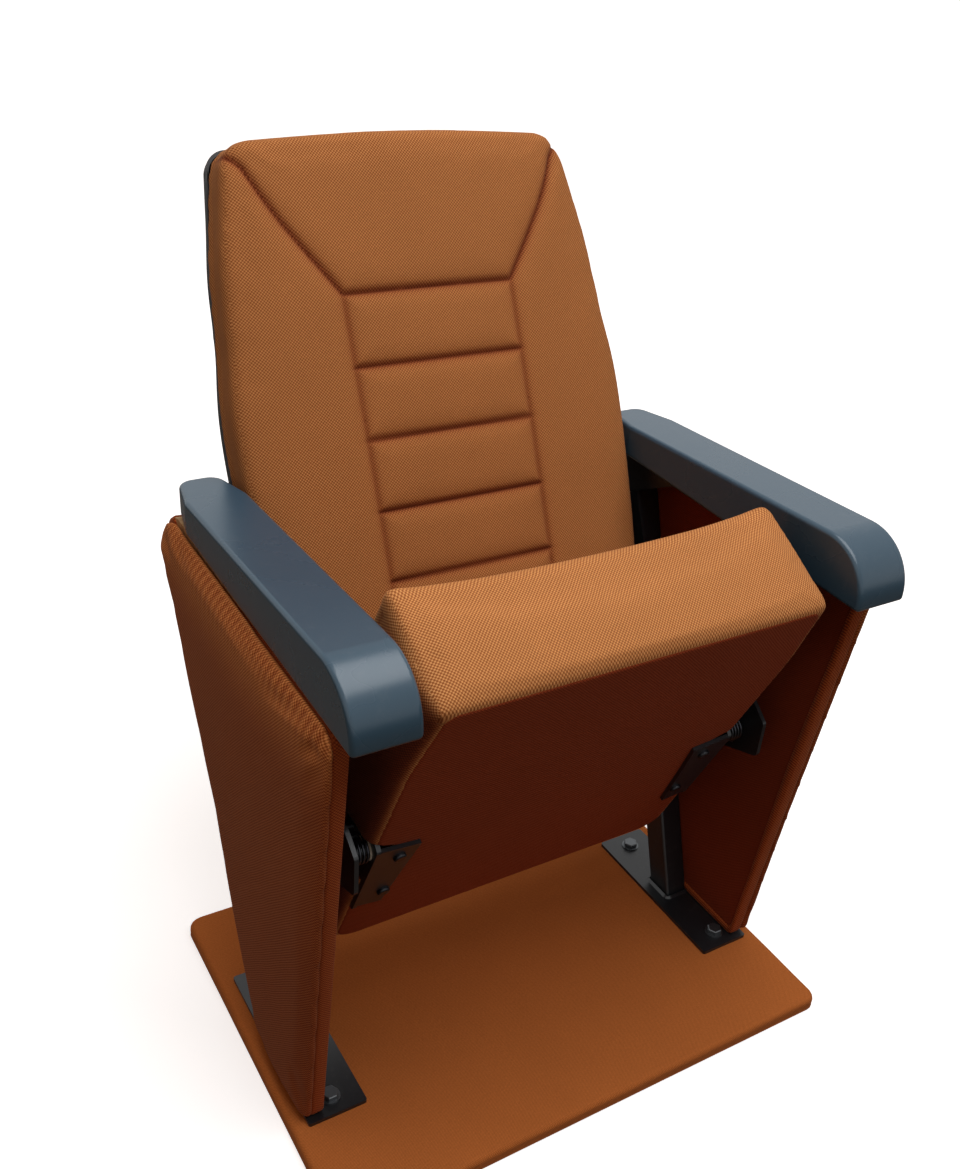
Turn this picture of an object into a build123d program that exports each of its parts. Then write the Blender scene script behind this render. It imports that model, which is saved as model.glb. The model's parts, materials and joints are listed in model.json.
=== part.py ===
from build123d import *
from math import atan, cos, radians, sin, tan
import os

# A tip-up auditorium seat, shown as a single place on a fabric-covered display base.
# Millimetres, +Z up.  The seat faces -Y, and left and right are as seen from the front.
# The origin is the centre of the base board's underside.
#
# How it goes together: two foot plates are bolted to the base board, and a square leg tube
# leans back from each.  The tube carries the arm rail, the seat carrier, the back bracket and
# the upholstered side panel.  The seat hangs on two pivot pins and tips up by itself: a torsion
# spring on each pin turns it up, and a rubber-sleeved stop pin in a curved slot ends its travel.

# ---------------------------------------------------------------- driving dimensions
arm_spacing = 570.0         # centre to centre of the armrests, which is the pitch in a row
fit_gap = 0.3               # gap left beside a soft, moulded or moving piece
screw_gap = 0.05            # radial gap round a screw's thread in its hole

# base board and its fabric cover
base_side_margin = 55.0     # beyond the middle of each armrest
base_width = arm_spacing + 2 * base_side_margin
base_depth = 490.0
base_thick = 18.0           # with the cover
base_corner = 16.0
base_edge = 7.0             # soft edge round the top
cover_skin = 3.0

# foot plates and their anchor bolts
foot_width = 72.0
foot_length = 240.0
foot_thick = 5.0
foot_corner = 3.0
anchor_diameter = 10.0
anchor_reach = 96.0         # from the plate's middle to each bolt
anchor_depth = 14.0         # into the base
anchor_clearance = 0.5      # radial, round the bolt in the steel
washer_diameter = 24.0
washer_thick = 1.5
hex_across = 17.0
hex_height = 6.4

# leg tubes
leg_width = 34.0            # across the seat
leg_depth = 38.0            # front to back, square to the tube
leg_wall = 2.5
leg_corner = 4.0
leg_foot_y = 5.0            # where the tube's centre line meets the foot plate
leg_lean = 19.8             # degrees back from upright
weld_size = 5.0
weld_slope = 40             # degrees from upright

# armrests: a moulded cap over a steel rail
arm_width = 68.0
arm_wall = 4.0
arm_front = -211.0
arm_rear = 250.0
arm_rear_top = 648.3
arm_slope = 0.0453          # rise of the top towards the front
arm_rear_edge = 613.0       # lower edge of the side wall, at the rear and at the front
arm_front_edge = 600.0
arm_nose = 60.0             # radius of the front end, seen from the side
arm_lip = 5.0
arm_edge = 5.0              # rounding round the top
arm_taper_length = 58.0     # the rear end narrows so that the back can pass it
arm_tail_width = 44.0
arm_tail_round = 18.0
rail_drop = 26.0            # from the armrest's top to the rail
rail_thick = 4.0
rail_side_gap = 3.0
rail_front_gap = 62.0
screw_diameter = 5.0
screw_head = 10.0
screw_head_thick = 3.0
screw_bite = 14.0           # length of screw inside a boss
head_dome = 0.6             # share of a domed head's thickness that is rounded
board_bite = 0.8            # share of a board's thickness that a screw goes into
boss_diameter = 16.0
arm_screw_spots = (-110.0, 20.0, 150.0)

# triangular gusset between leg and rail
gusset_thick = 4.0
gusset_reach = 100.0
gusset_height = 62.0

# side panels: plywood board, lining inside, foam pad outside
lining_thick = 2.0
board_thick = 10.0
pad_thick = 17.0
panel_foot_gap = 1.5        # above the foot plate
panel_front_low = -118.0
panel_front_high = -178.0
panel_rear_low = 28.0
panel_rear_high = 297.0
panel_rear_round = 44.0
panel_front_round = 22.0
panel_low_round = 9.0
panel_inset = 6.0           # board and lining stay inside the pad's outline
pad_round = 11.0
panel_bolt_diameter = 6.0
panel_bolt_head = 14.0
panel_bolt_head_thick = 3.6
panel_bolt_heights = (150.0, 225.0, 450.0)

# seat, drawn tipped up, which is how it rests
seat_tip = 24.1             # degrees forward of upright, along the underside
seat_travel = 64.0          # degrees from tipped up to down
seat_length = 505.0
seat_side_room = 65.0       # from the seat's side to the middle of the leg
seat_width = arm_spacing - 2 * seat_side_room
seat_waist = 4.0            # how far each side is drawn in between its corners
seat_rear_thick = 84.0
seat_front_thick = 130.0
seat_front_lean = 14.0      # the front face overhangs by this much at the top
seat_crown = 11.0
seat_cross_crown = 5.0
seat_front_dip = 6.0        # at the front the middle lies this much below the sides
seat_nose = 24.0
seat_low_round = 5.0
seat_side_round = 11.0
under_cover_thick = 3.0
pan_thick = 12.0
pan_inset = 9.0
pan_corner = 28.0

# hinge
pivot_y = -72.0
pivot_z = 362.0
pivot_along = 227.0         # from the seat's rear edge, along the underside
pivot_in = 14.0             # above the underside
pin_diameter = 16.0
pin_gap = 0.05              # radial, pin in its bush
bush_wall = 2.0
bush_flange = 28.0
bush_flange_thick = 2.0
ring_outer = 21.0
ring_thick = 1.5
pin_tail = 1.0              # pin beyond its retaining ring
plate_thick = 5.0
hinge_side_gap = 9.0        # between the seat's side and its bracket
stop_radius = 31.0          # from the pivot to the stop pin
stop_angle = 12.0           # where the stop pin stands, degrees above the horizontal
stop_pin_diameter = 7.0
stop_sleeve_wall = 3.0
sleeve_overhang = 1.5
spring_wire = 3.0
spring_coil = 28.0          # mean diameter
spring_turns = 5
spring_leg = 18.0           # straight length from coil to bend
spring_bend = 3.0
spring_hole_gap = 1.2       # radial, tang in its hole
spring_start = 112.0        # where the coil leaves its leg, degrees round the pivot
spring_extra = 106.0        # degrees beyond the whole turns
spring_bite = 4.0           # tang inside its hole

# seat bracket, an angle bolted under the seat
flange_reach = 44.0         # from the side plate's outer face inwards
flange_rear = 105.0         # along the underside, from the seat's rear edge
flange_front = 247.0
flange_bevel = 9.0
flange_point = 8.0
bracket_height = 56.0
bracket_round = 10.0
seat_bolt_diameter = 8.0
seat_bolt_head = 15.0
seat_bolt_head_thick = 4.4
seat_bolt_inset = 31.0      # from the side plate's outer face
seat_bolt_spots = (137.0, 222.0)

# seat carrier, a steel gusset from the leg to the pivot
carrier_front = -115.0
carrier_top = 412.0
carrier_low = 345.0
carrier_bevel_y = 24.0
carrier_bevel_z = 19.0
carrier_rear_low = 262.0
carrier_round = 7.0

# backrest, drawn on the plane of its sewn channels
back_y = 279.0              # a point on that plane, at the top channel
back_z = 820.0
back_recline = 25.8         # degrees from upright
back_top = 172.0            # along the back, from the top channel
back_bottom = -402.0
back_side_room = 37.0       # from the back's widest place to the middle of the leg
back_half_waist = arm_spacing / 2 - back_side_room
back_half_bottom = back_half_waist - 9.0
back_half_shoulder = back_half_waist - 5.0
back_half_top = back_half_waist - 35.0
back_waist = -212.0
back_shoulder = -22.0
back_corner = 26.0
back_arch = 7.0             # rise of the top edge in its middle
back_crown = 11.0           # pillow in front of the channel plane
back_cross_crown = 9.0
back_end_crown = 6.0
back_pad_depth = 46.0       # channel plane to the board
back_front_round = 17.0
channel_spacing = 79.0
channel_count = 5
channel_half = 106.0
channel_radius = 8.0
channel_lift = 1.5          # centre of the channel's round, in front of the pillow
channel_lap = 4.0           # how far a slanting channel starts inside the upright one
back_board_thick = 10.0
back_board_inset = 10.0
shell_lip = 0.5             # the shell stands this far outside the cushion
shell_wall = 3.5
shell_depth = 28.0
shell_crown = 10.0
shell_round = 9.0
shell_boss_diameter = 14.0
shell_notch_width = 30.0    # across the rim, where a bracket passes
shell_notch_gap = 2.0       # above and below the bracket
shell_screw_x = 150.0
shell_screw_spots = (-330.0, 90.0)

# back brackets, angles between the legs and the back board
back_bracket_thick = 4.0
back_bracket_low = -372.0
back_bracket_high = -272.0
back_bracket_leg = 42.0
back_bracket_reach = 95.0   # from the middle of the leg to the flange's inner end
back_bolt_reach = 73.0      # from the middle of the leg to the bolt
back_bolt_diameter = 8.0
back_bolt_head = 15.0
back_bolt_head_thick = 4.4
back_bolt_inset = 20.0      # from the bracket's upper and lower ends

# ---------------------------------------------------------------- worked-out places
side_x = arm_spacing / 2                        # middle of leg, rail and armrest
leg_inner = side_x - leg_width / 2
leg_outer = side_x + leg_width / 2
foot_top = base_thick + foot_thick
leg_direction = Vector(0, sin(radians(leg_lean)), cos(radians(leg_lean)))
lining_x = leg_outer
board_x = lining_x + lining_thick
pad_x = board_x + board_thick
pad_outer = pad_x + pad_thick
panel_foot = foot_top + panel_foot_gap
arm_top_angle = atan(arm_slope)

seat_side = seat_width / 2
seat_up = Vector(0, -sin(radians(seat_tip)), cos(radians(seat_tip)))        # rear to front edge
seat_normal = Vector(0, cos(radians(seat_tip)), sin(radians(seat_tip)))     # underside to top
pivot = Vector(0, pivot_y, pivot_z)
seat_origin = pivot - seat_up * pivot_along - seat_normal * pivot_in
bracket_inner = seat_side + hinge_side_gap
bracket_outer = bracket_inner + plate_thick
carrier_inner = leg_inner - plate_thick
sleeve_radius = stop_pin_diameter / 2 + stop_sleeve_wall
stop_centre = pivot + Vector(0, cos(radians(stop_angle)), sin(radians(stop_angle))) * stop_radius

back_along = Vector(0, sin(radians(back_recline)), cos(radians(back_recline)))
back_rearward = Vector(0, cos(radians(back_recline)), -sin(radians(back_recline)))
back_origin = Vector(0, back_y, back_z)
board_front = back_pad_depth
board_rear = board_front + back_board_thick
shell_front = board_front + fit_gap


def arm_top(y):
    """Height of the armrest's top at y."""
    return arm_rear_top + arm_slope * (arm_rear - y)


def arm_edge_height(y):
    """Height of the lower edge of the armrest's side walls at y."""
    share = (arm_rear - y) / (arm_rear - arm_front)
    return arm_rear_edge + (arm_front_edge - arm_rear_edge) * share


def rail_top(y):
    """Height of the rail's upper face at y."""
    return arm_top(y) - rail_drop


def leg_centre_y(z):
    """Where the leg tube's centre line is at height z."""
    return leg_foot_y + (z - foot_top) * tan(radians(leg_lean))


def side_plane(x):
    """A plane square to X: its own x runs along +Y, its own y along +Z."""
    return Plane.YZ.offset(x)


def seat_level(height):
    """A plane parallel to the seat's underside: own x across, own y from rear to front."""
    return Plane(seat_origin + seat_normal * height, x_dir=(1, 0, 0), z_dir=-seat_normal)


def seat_section(along):
    """A plane across the seat: own x across, own y from the underside to the top."""
    return Plane(seat_origin + seat_up * along, x_dir=(1, 0, 0), z_dir=seat_up)


def seat_profile(x):
    """A plane along the seat, square to X: own x from rear to front, own y to the top."""
    return Plane(seat_origin + Vector(x, 0, 0), x_dir=seat_up, z_dir=(-1, 0, 0))


def back_level(depth):
    """A plane parallel to the back: own x across, own y up along the back."""
    return Plane(back_origin + back_rearward * depth, x_dir=(1, 0, 0), z_dir=-back_rearward)


def back_section(along):
    """A plane across the back: own x across, own y rearwards."""
    return Plane(back_origin + back_along * along, x_dir=(1, 0, 0), z_dir=back_along)


def back_point(x, along, depth):
    """A point given on the back's own axes."""
    return back_origin + Vector(x, 0, 0) + back_along * along + back_rearward * depth


def save(piece, name):
    """Label one sub-part and write its STEP file."""
    piece.label = name
    export_step(piece, f"parts/{name}.step")


def save_pair(piece, name):
    """A right-hand piece, and its mirror image on the left."""
    save(piece, f"{name}_right")
    save(mirror(piece, about=Plane.YZ), f"{name}_left")


os.makedirs("parts", exist_ok=True)

# ---------------------------------------------------------------- base
anchor_places = [(side * side_x, end * anchor_reach) for side in (-1, 1) for end in (-1, 1)]


def base_plan(inset):
    """The base's outline from above."""
    RectangleRounded(base_width - 2 * inset, base_depth - 2 * inset, base_corner - inset)



with BuildPart() as base_board:
    with BuildSketch():
        base_plan(cover_skin)
    extrude(amount=base_thick - cover_skin)
    with Locations(Plane.XY.offset(base_thick - cover_skin)):
        with Locations(*anchor_places):
            Hole(anchor_diameter / 2 + screw_gap, depth=anchor_depth - cover_skin)
save(base_board.part, "base_board")

with BuildPart() as base_cover:
    with BuildSketch():
        base_plan(0)
    extrude(amount=base_thick)
    fillet(base_cover.faces().sort_by(Axis.Z)[-1].edges(), base_edge)
    with BuildSketch():
        base_plan(cover_skin)
    extrude(amount=base_thick - cover_skin, mode=Mode.SUBTRACT)
    with Locations(Plane.XY.offset(base_thick)):
        with Locations(*anchor_places):
            Hole(anchor_diameter / 2 + anchor_clearance, depth=cover_skin)
save(base_cover.part, "base_cover")

# ---------------------------------------------------------------- feet and legs
with BuildPart() as foot_plate:
    with BuildSketch(Plane.XY.offset(base_thick)):
        with Locations((side_x, 0)):
            RectangleRounded(foot_width, foot_length, foot_corner)
        with Locations((side_x, anchor_reach), (side_x, -anchor_reach)):
            Circle(anchor_diameter / 2 + anchor_clearance, mode=Mode.SUBTRACT)
    extrude(amount=foot_thick)
save_pair(foot_plate.part, "foot_plate")

with BuildPart() as anchor_washers:
    with BuildSketch(Plane.XY.offset(foot_top)):
        with Locations(*anchor_places):
            Circle(washer_diameter / 2)
            Circle(anchor_diameter / 2 + anchor_clearance, mode=Mode.SUBTRACT)
    extrude(amount=washer_thick)
save(anchor_washers.part, "anchor_washers")

with BuildPart() as anchor_bolts:
    with BuildSketch(Plane.XY.offset(foot_top + washer_thick)):
        with Locations(*anchor_places):
            RegularPolygon(hex_across / 2, 6, major_radius=False)
    extrude(amount=hex_height)
    chamfer(anchor_bolts.faces().group_by(Axis.Z)[-1].edges(), 1)
    with BuildSketch(Plane.XY.offset(base_thick - anchor_depth)):
        with Locations(*anchor_places):
            Circle(anchor_diameter / 2)
    extrude(amount=anchor_depth + foot_thick + washer_thick)
save(anchor_bolts.part, "anchor_bolts")

rail_normal = Vector(0, sin(arm_top_angle), cos(arm_top_angle))
rail_top_plane = Plane((side_x, arm_rear, rail_top(arm_rear)), x_dir=(1, 0, 0), z_dir=rail_normal)
rail_low_plane = rail_top_plane.offset(-rail_thick)
leg_plane = Plane((side_x, leg_foot_y, foot_top), x_dir=(1, 0, 0), z_dir=leg_direction)

with BuildPart() as leg_tube:
    with BuildSketch(leg_plane):
        RectangleRounded(leg_width, leg_depth, leg_corner)
        RectangleRounded(
            leg_width - 2 * leg_wall, leg_depth - 2 * leg_wall, leg_corner - leg_wall, mode=Mode.SUBTRACT
        )
    # long at both ends, and cut back below to the foot plate and the rail
    extrude(amount=arm_rear_top / cos(radians(leg_lean)), both=True)
    # the weld bead round the foot
    weld_depth = leg_depth / cos(radians(leg_lean))
    with BuildSketch(Plane((side_x, leg_foot_y, foot_top))):
        RectangleRounded(leg_width + 2 * weld_size, weld_depth + 2 * weld_size, leg_corner + weld_size)
        Rectangle(leg_width - leg_wall, weld_depth - leg_wall, mode=Mode.SUBTRACT)
    extrude(amount=weld_size, taper=weld_slope)
    split(bisect_by=side_plane(leg_outer), keep=Keep.BOTTOM)
    split(bisect_by=Plane((0, 0, foot_top)), keep=Keep.TOP)
    split(bisect_by=rail_low_plane, keep=Keep.BOTTOM)
    for height in panel_bolt_heights:
        with Locations(side_plane(side_x).location * Location((leg_centre_y(height), height, 0))):
            Cylinder(panel_bolt_diameter / 2 + screw_gap + fit_gap, leg_width + 2, mode=Mode.SUBTRACT)
save_pair(leg_tube.part, "leg_tube")

# ---------------------------------------------------------------- arm rail, gusset and armrest


def arm_side(inset):
    """The armrest's side view; with an inset, the hollow inside it, open below."""
    top_rear = (arm_rear - inset, arm_top(arm_rear - inset) - inset)
    top_front = (arm_front + inset, arm_top(arm_front + inset) - inset)
    low = arm_wall * 10 if inset else 0
    with BuildLine() as outline:
        Polyline(
            (arm_rear - inset, arm_rear_edge - low),
            top_rear,
            top_front,
            (arm_front + inset, arm_front_edge - low),
            close=True,
        )
    make_face(outline.edges())


def arm_plan(inset):
    """The armrest's outline from above, with its narrowed tail."""
    half = arm_width / 2 - inset
    tail = arm_tail_width / 2 - inset
    with BuildLine() as outline:
        Polyline(
            (side_x - half, arm_front - arm_wall),
            (side_x - half, arm_rear - arm_taper_length),
            (side_x - tail, arm_rear - inset),
            (side_x + tail, arm_rear - inset),
            (side_x + half, arm_rear - arm_taper_length),
            (side_x + half, arm_front - arm_wall),
            close=True,
        )
    make_face(outline.edges())


with BuildPart() as arm_hollow:
    with BuildSketch(side_plane(side_x)) as hollow_side:
        arm_side(arm_wall)
        fillet(hollow_side.vertices().group_by(Axis.X)[0].sort_by(Axis.Y)[-1], arm_nose - arm_wall)
    extrude(amount=arm_width, both=True)
    with BuildSketch(Plane.XY.offset(arm_front_edge - arm_nose)):
        arm_plan(arm_wall)
    extrude(amount=arm_nose * 3, mode=Mode.INTERSECT)

with BuildPart() as armrest:
    with BuildSketch(side_plane(side_x)) as side_view:
        arm_side(0)
        front_corners = side_view.vertices().group_by(Axis.X)[0].sort_by(Axis.Y)
        fillet(front_corners[-1], arm_nose)
        fillet(side_view.vertices().sort_by(Axis.Y)[0], arm_lip)
    extrude(amount=arm_width, both=True)
    with BuildSketch(Plane.XY.offset(arm_front_edge - arm_nose)) as plan_view:
        arm_plan(0)
        fillet(plan_view.vertices().group_by(Axis.Y)[1:], arm_tail_round)
    extrude(amount=arm_nose * 3, mode=Mode.INTERSECT)
    low_edges = armrest.faces().sort_by(Axis.Z)[0].edges()
    long_edges = armrest.edges().filter_by(Axis.X, reverse=True).filter_by(Axis.Z, reverse=True)
    tail_edge = armrest.edges().filter_by(Axis.X).group_by(Axis.Y)[-1].sort_by(Axis.Z)[-1]
    fillet(long_edges - low_edges + [tail_edge], arm_edge)
    add(arm_hollow.part, mode=Mode.SUBTRACT)
    # screw bosses, from the rail up to the top wall
    for y in arm_screw_spots:
        with BuildSketch(Plane((side_x, y, rail_top(y)), x_dir=(1, 0, 0), z_dir=rail_normal)):
            Circle(boss_diameter / 2)
            Circle(screw_diameter / 2 + screw_gap, mode=Mode.SUBTRACT)
        extrude(amount=rail_drop - arm_wall / 2)
save_pair(armrest.part, "armrest")

with BuildPart() as arm_rail:
    with BuildSketch(Plane.XY.offset(arm_front_edge)) as rail_plan:
        arm_plan(arm_wall + rail_side_gap)
        with Locations((side_x, arm_front)):
            Rectangle(arm_width * 2, 2 * rail_front_gap, mode=Mode.SUBTRACT)
        with Locations(*[(side_x, y) for y in arm_screw_spots]):
            Circle(screw_diameter / 2 + fit_gap, mode=Mode.SUBTRACT)
    extrude(amount=arm_nose * 2)
    split(bisect_by=rail_low_plane, keep=Keep.TOP)
    split(bisect_by=rail_top_plane, keep=Keep.BOTTOM)
save_pair(arm_rail.part, "arm_rail")

with BuildPart() as arm_screws:
    for side in (-1, 1):
        for y in arm_screw_spots:
            seat_of_boss = Plane((side * side_x, y, rail_top(y)), x_dir=(1, 0, 0), z_dir=rail_normal)
            head_plane = seat_of_boss.offset(-rail_thick)
            with BuildSketch(head_plane):
                Circle(screw_diameter / 2)
            extrude(amount=rail_thick + screw_bite)
            with BuildSketch(head_plane):
                Circle(screw_head / 2)
            extrude(amount=-screw_head_thick)
save(arm_screws.part, "arm_screws")

rail_low_at = rail_top(leg_centre_y(arm_rear_edge)) - rail_thick
with BuildPart() as arm_gusset:
    leg_front = leg_centre_y(rail_low_at) - leg_depth / 2
    with BuildSketch(side_plane(leg_inner - gusset_thick)):
        with BuildLine():
            Polyline(
                (leg_front - gusset_reach, rail_low_at + gusset_height),
                (leg_front - gusset_reach, rail_low_at - gusset_height / 5),
                (leg_centre_y(rail_low_at - gusset_height), rail_low_at - gusset_height),
                (leg_centre_y(rail_low_at), rail_low_at + gusset_height),
                close=True,
            )
        make_face()
    extrude(amount=gusset_thick)
    split(bisect_by=rail_low_plane, keep=Keep.BOTTOM)
    fillet(arm_gusset.edges().filter_by(Axis.X).group_by(Axis.Y)[0].sort_by(Axis.Z)[0], carrier_round)
save_pair(arm_gusset.part, "arm_gusset")

# ---------------------------------------------------------------- side panels


def panel_outline(inset, top_rear, top_front):
    """The panel's side view, from the foot plate to the given top line."""
    rise = top_rear - panel_foot
    rear_high = panel_rear_low + (panel_rear_high - panel_rear_low) * rise / (arm_rear_edge - panel_foot)
    with BuildLine() as outline:
        Polyline(
            (panel_front_low + inset, panel_foot),
            (panel_front_high + inset, top_front),
            (rear_high - inset, top_rear),
            (panel_rear_low - inset, panel_foot),
            close=True,
        )
    make_face(outline.edges())


def round_panel(sketch, rear_round):
    """Round the corners of a panel outline."""
    low_corners = sketch.vertices().group_by(Axis.Y)[0]
    fillet(low_corners, panel_low_round)
    fillet(sketch.vertices().sort_by(Axis.X)[-1], rear_round)
    fillet(sketch.vertices().sort_by(Axis.X)[0], panel_front_round)


with BuildPart() as side_pad:
    with BuildSketch(side_plane(pad_x)) as pad_outline:
        panel_outline(0, arm_rear_edge - fit_gap, arm_front_edge - fit_gap)
        round_panel(pad_outline, panel_rear_round)
    extrude(amount=pad_thick)
    fillet(side_pad.faces().sort_by(Axis.X)[-1].edges(), pad_round)
save_pair(side_pad.part, "side_pad")

with BuildPart() as side_board:
    with BuildSketch(side_plane(board_x)) as board_outline:
        panel_outline(panel_inset, arm_rear_edge - fit_gap, arm_front_edge - fit_gap)
        round_panel(board_outline, panel_rear_round - panel_inset)
    extrude(amount=board_thick)
    # the tongue that stands up inside the armrest and carries the rail
    with BuildSketch(side_plane(board_x)):
        with BuildLine():
            Polyline(
                (arm_front + rail_front_gap, arm_front_edge - panel_inset),
                (arm_front + rail_front_gap, arm_top(arm_front)),
                (arm_rear - arm_taper_length, arm_top(arm_front)),
                (arm_rear - arm_taper_length, arm_rear_edge - panel_inset),
                close=True,
            )
        make_face()
    extrude(amount=board_thick)
    split(bisect_by=rail_low_plane, keep=Keep.BOTTOM)
    for height in panel_bolt_heights:
        with Locations(side_plane(board_x).location * Location((leg_centre_y(height), height, 0))):
            Cylinder(panel_bolt_diameter / 2 + screw_gap, 2 * board_thick, mode=Mode.SUBTRACT)
save_pair(side_board.part, "side_board")

with BuildPart() as side_lining:
    with BuildSketch(side_plane(lining_x)) as lining_outline:
        panel_outline(panel_inset, arm_rear_edge - fit_gap, arm_front_edge - fit_gap)
        round_panel(lining_outline, panel_rear_round - panel_inset)
    extrude(amount=lining_thick)
    for height in panel_bolt_heights:
        with Locations(side_plane(lining_x).location * Location((leg_centre_y(height), height, 0))):
            Cylinder(panel_bolt_diameter / 2 + fit_gap, 4 * lining_thick, mode=Mode.SUBTRACT)
save_pair(side_lining.part, "side_lining")

with BuildPart() as panel_bolts:
    for height in panel_bolt_heights:
        with BuildSketch(side_plane(leg_inner)):
            with Locations((leg_centre_y(height), height)):
                Circle(panel_bolt_diameter / 2)
        extrude(amount=leg_width + lining_thick + board_thick * board_bite)
        with BuildSketch(side_plane(leg_inner)):
            with Locations((leg_centre_y(height), height)):
                Circle(panel_bolt_head / 2)
        extrude(amount=-panel_bolt_head_thick)
    fillet(panel_bolts.faces().group_by(Axis.X)[0].edges(), panel_bolt_head_thick * head_dome)
    mirror(about=Plane.YZ)
save(panel_bolts.part, "panel_bolts")

# ---------------------------------------------------------------- torsion springs
spring_from = bracket_outer + bush_flange_thick + fit_gap + spring_wire / 2
spring_to = carrier_inner - fit_gap - spring_wire / 2
spring_total = 360 * spring_turns + spring_extra
spring_arcs = 2 * spring_turns + 1


def round_pivot(x, radius, angle):
    """A point at a radius and an angle round the pivot, in the plane at x."""
    return pivot + Vector(x, cos(radians(angle)) * radius, sin(radians(angle)) * radius)


def coil_point(share):
    """A point on the coil's centre line, from 0 at the seat's end to 1 at the leg's end."""
    x = spring_from + (spring_to - spring_from) * share
    return round_pivot(x, spring_coil / 2, spring_start + spring_total * share)


def tangent_point(share, length):
    """A point reached by going straight off the coil, for a length, square to the pivot."""
    angle = radians(spring_start + spring_total * share)
    return coil_point(share) + Vector(0, -sin(angle), cos(angle)) * length


bracket_tang = tangent_point(0, -spring_leg)
carrier_tang = tangent_point(1, spring_leg)

with BuildPart() as torsion_spring:
    with BuildLine() as spring_path:
        FilletPolyline(
            Vector(bracket_outer - spring_bite, bracket_tang.Y, bracket_tang.Z),
            bracket_tang,
            coil_point(0),
            radius=spring_bend,
        )
        for number in range(spring_arcs):
            ThreePointArc(
                coil_point(number / spring_arcs),
                coil_point((number + 0.5) / spring_arcs),
                coil_point((number + 1) / spring_arcs),
            )
        FilletPolyline(
            coil_point(1),
            carrier_tang,
            Vector(carrier_inner + spring_bite, carrier_tang.Y, carrier_tang.Z),
            radius=spring_bend,
        )
    with BuildSketch(Plane(spring_path.line @ 0, z_dir=spring_path.line % 0)):
        Circle(spring_wire / 2)
    sweep(path=spring_path.line)
save_pair(torsion_spring.part, "torsion_spring")

turn_points = [coil_point(number / 120) for number in range(121)]
half_turn = round(120 * 180 / spring_total)
spring_gap = min(
    (turn_points[later] - turn_points[first]).length - spring_wire
    for first in range(len(turn_points))
    for later in range(first + half_turn, len(turn_points))
)
print("torsion spring: least gap between turns", round(spring_gap, 2), "mm")

# ---------------------------------------------------------------- seat carrier and pivot
carrier_rear_y = leg_depth / 2 / cos(radians(leg_lean))

with BuildPart() as seat_carrier:
    with BuildSketch(side_plane(carrier_inner)) as carrier_outline:
        with BuildLine():
            Polyline(
                (carrier_front, carrier_low),
                (carrier_front, carrier_top - carrier_bevel_z),
                (carrier_front + carrier_bevel_y, carrier_top),
                (leg_centre_y(carrier_top) + carrier_rear_y, carrier_top),
                (leg_centre_y(carrier_rear_low) + carrier_rear_y, carrier_rear_low),
                close=True,
            )
        make_face()
        fillet(carrier_outline.vertices(), carrier_round)
        with Locations((pivot_y, pivot_z)):
            Circle(pin_diameter / 2, mode=Mode.SUBTRACT)
        with Locations((stop_centre.Y, stop_centre.Z)):
            Circle(stop_pin_diameter / 2, mode=Mode.SUBTRACT)
        with Locations((carrier_tang.Y, carrier_tang.Z)):
            Circle(spring_wire / 2 + spring_hole_gap, mode=Mode.SUBTRACT)
    extrude(amount=plate_thick)
save_pair(seat_carrier.part, "seat_carrier")

ring_x = bracket_inner - ring_thick - fit_gap
with BuildPart() as pivot_pins:
    with BuildSketch(side_plane(ring_x - pin_tail)):
        with Locations((pivot_y, pivot_z)):
            Circle(pin_diameter / 2)
    extrude(amount=leg_inner - ring_x + pin_tail)
    chamfer(pivot_pins.faces().sort_by(Axis.X)[0].edges(), pin_tail / 2)
    with BuildSketch(side_plane(ring_x)):
        with Locations((pivot_y, pivot_z)):
            Circle(pin_diameter / 2)
            Circle(pin_diameter / 2 - 1, mode=Mode.SUBTRACT)
    extrude(amount=ring_thick, mode=Mode.SUBTRACT)
    mirror(about=Plane.YZ)
save(pivot_pins.part, "pivot_pins")

with BuildPart() as retaining_rings:
    with BuildSketch(side_plane(ring_x)):
        with Locations((pivot_y, pivot_z)):
            Circle(ring_outer / 2)
            Circle(pin_diameter / 2 - 1, mode=Mode.SUBTRACT)
        with Locations((pivot_y, pivot_z - ring_outer / 2)):
            Rectangle(pin_diameter / 2, ring_outer / 2, mode=Mode.SUBTRACT)
    extrude(amount=ring_thick)
    mirror(about=Plane.YZ)
save(retaining_rings.part, "retaining_rings")

with BuildPart() as stop_pins:
    with BuildSketch(side_plane(bracket_inner - sleeve_overhang)):
        with Locations((stop_centre.Y, stop_centre.Z)):
            Circle(stop_pin_diameter / 2)
    extrude(amount=leg_inner - bracket_inner + sleeve_overhang)
    mirror(about=Plane.YZ)
save(stop_pins.part, "stop_pins")

with BuildPart() as stop_sleeves:
    with BuildSketch(side_plane(bracket_inner - sleeve_overhang)):
        with Locations((stop_centre.Y, stop_centre.Z)):
            Circle(sleeve_radius)
            Circle(stop_pin_diameter / 2, mode=Mode.SUBTRACT)
    extrude(amount=plate_thick + 2 * sleeve_overhang)
    mirror(about=Plane.YZ)
save(stop_sleeves.part, "stop_sleeves")

# ---------------------------------------------------------------- seat bracket, the moving half
bush_radius = pin_diameter / 2 + pin_gap + bush_wall

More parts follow.
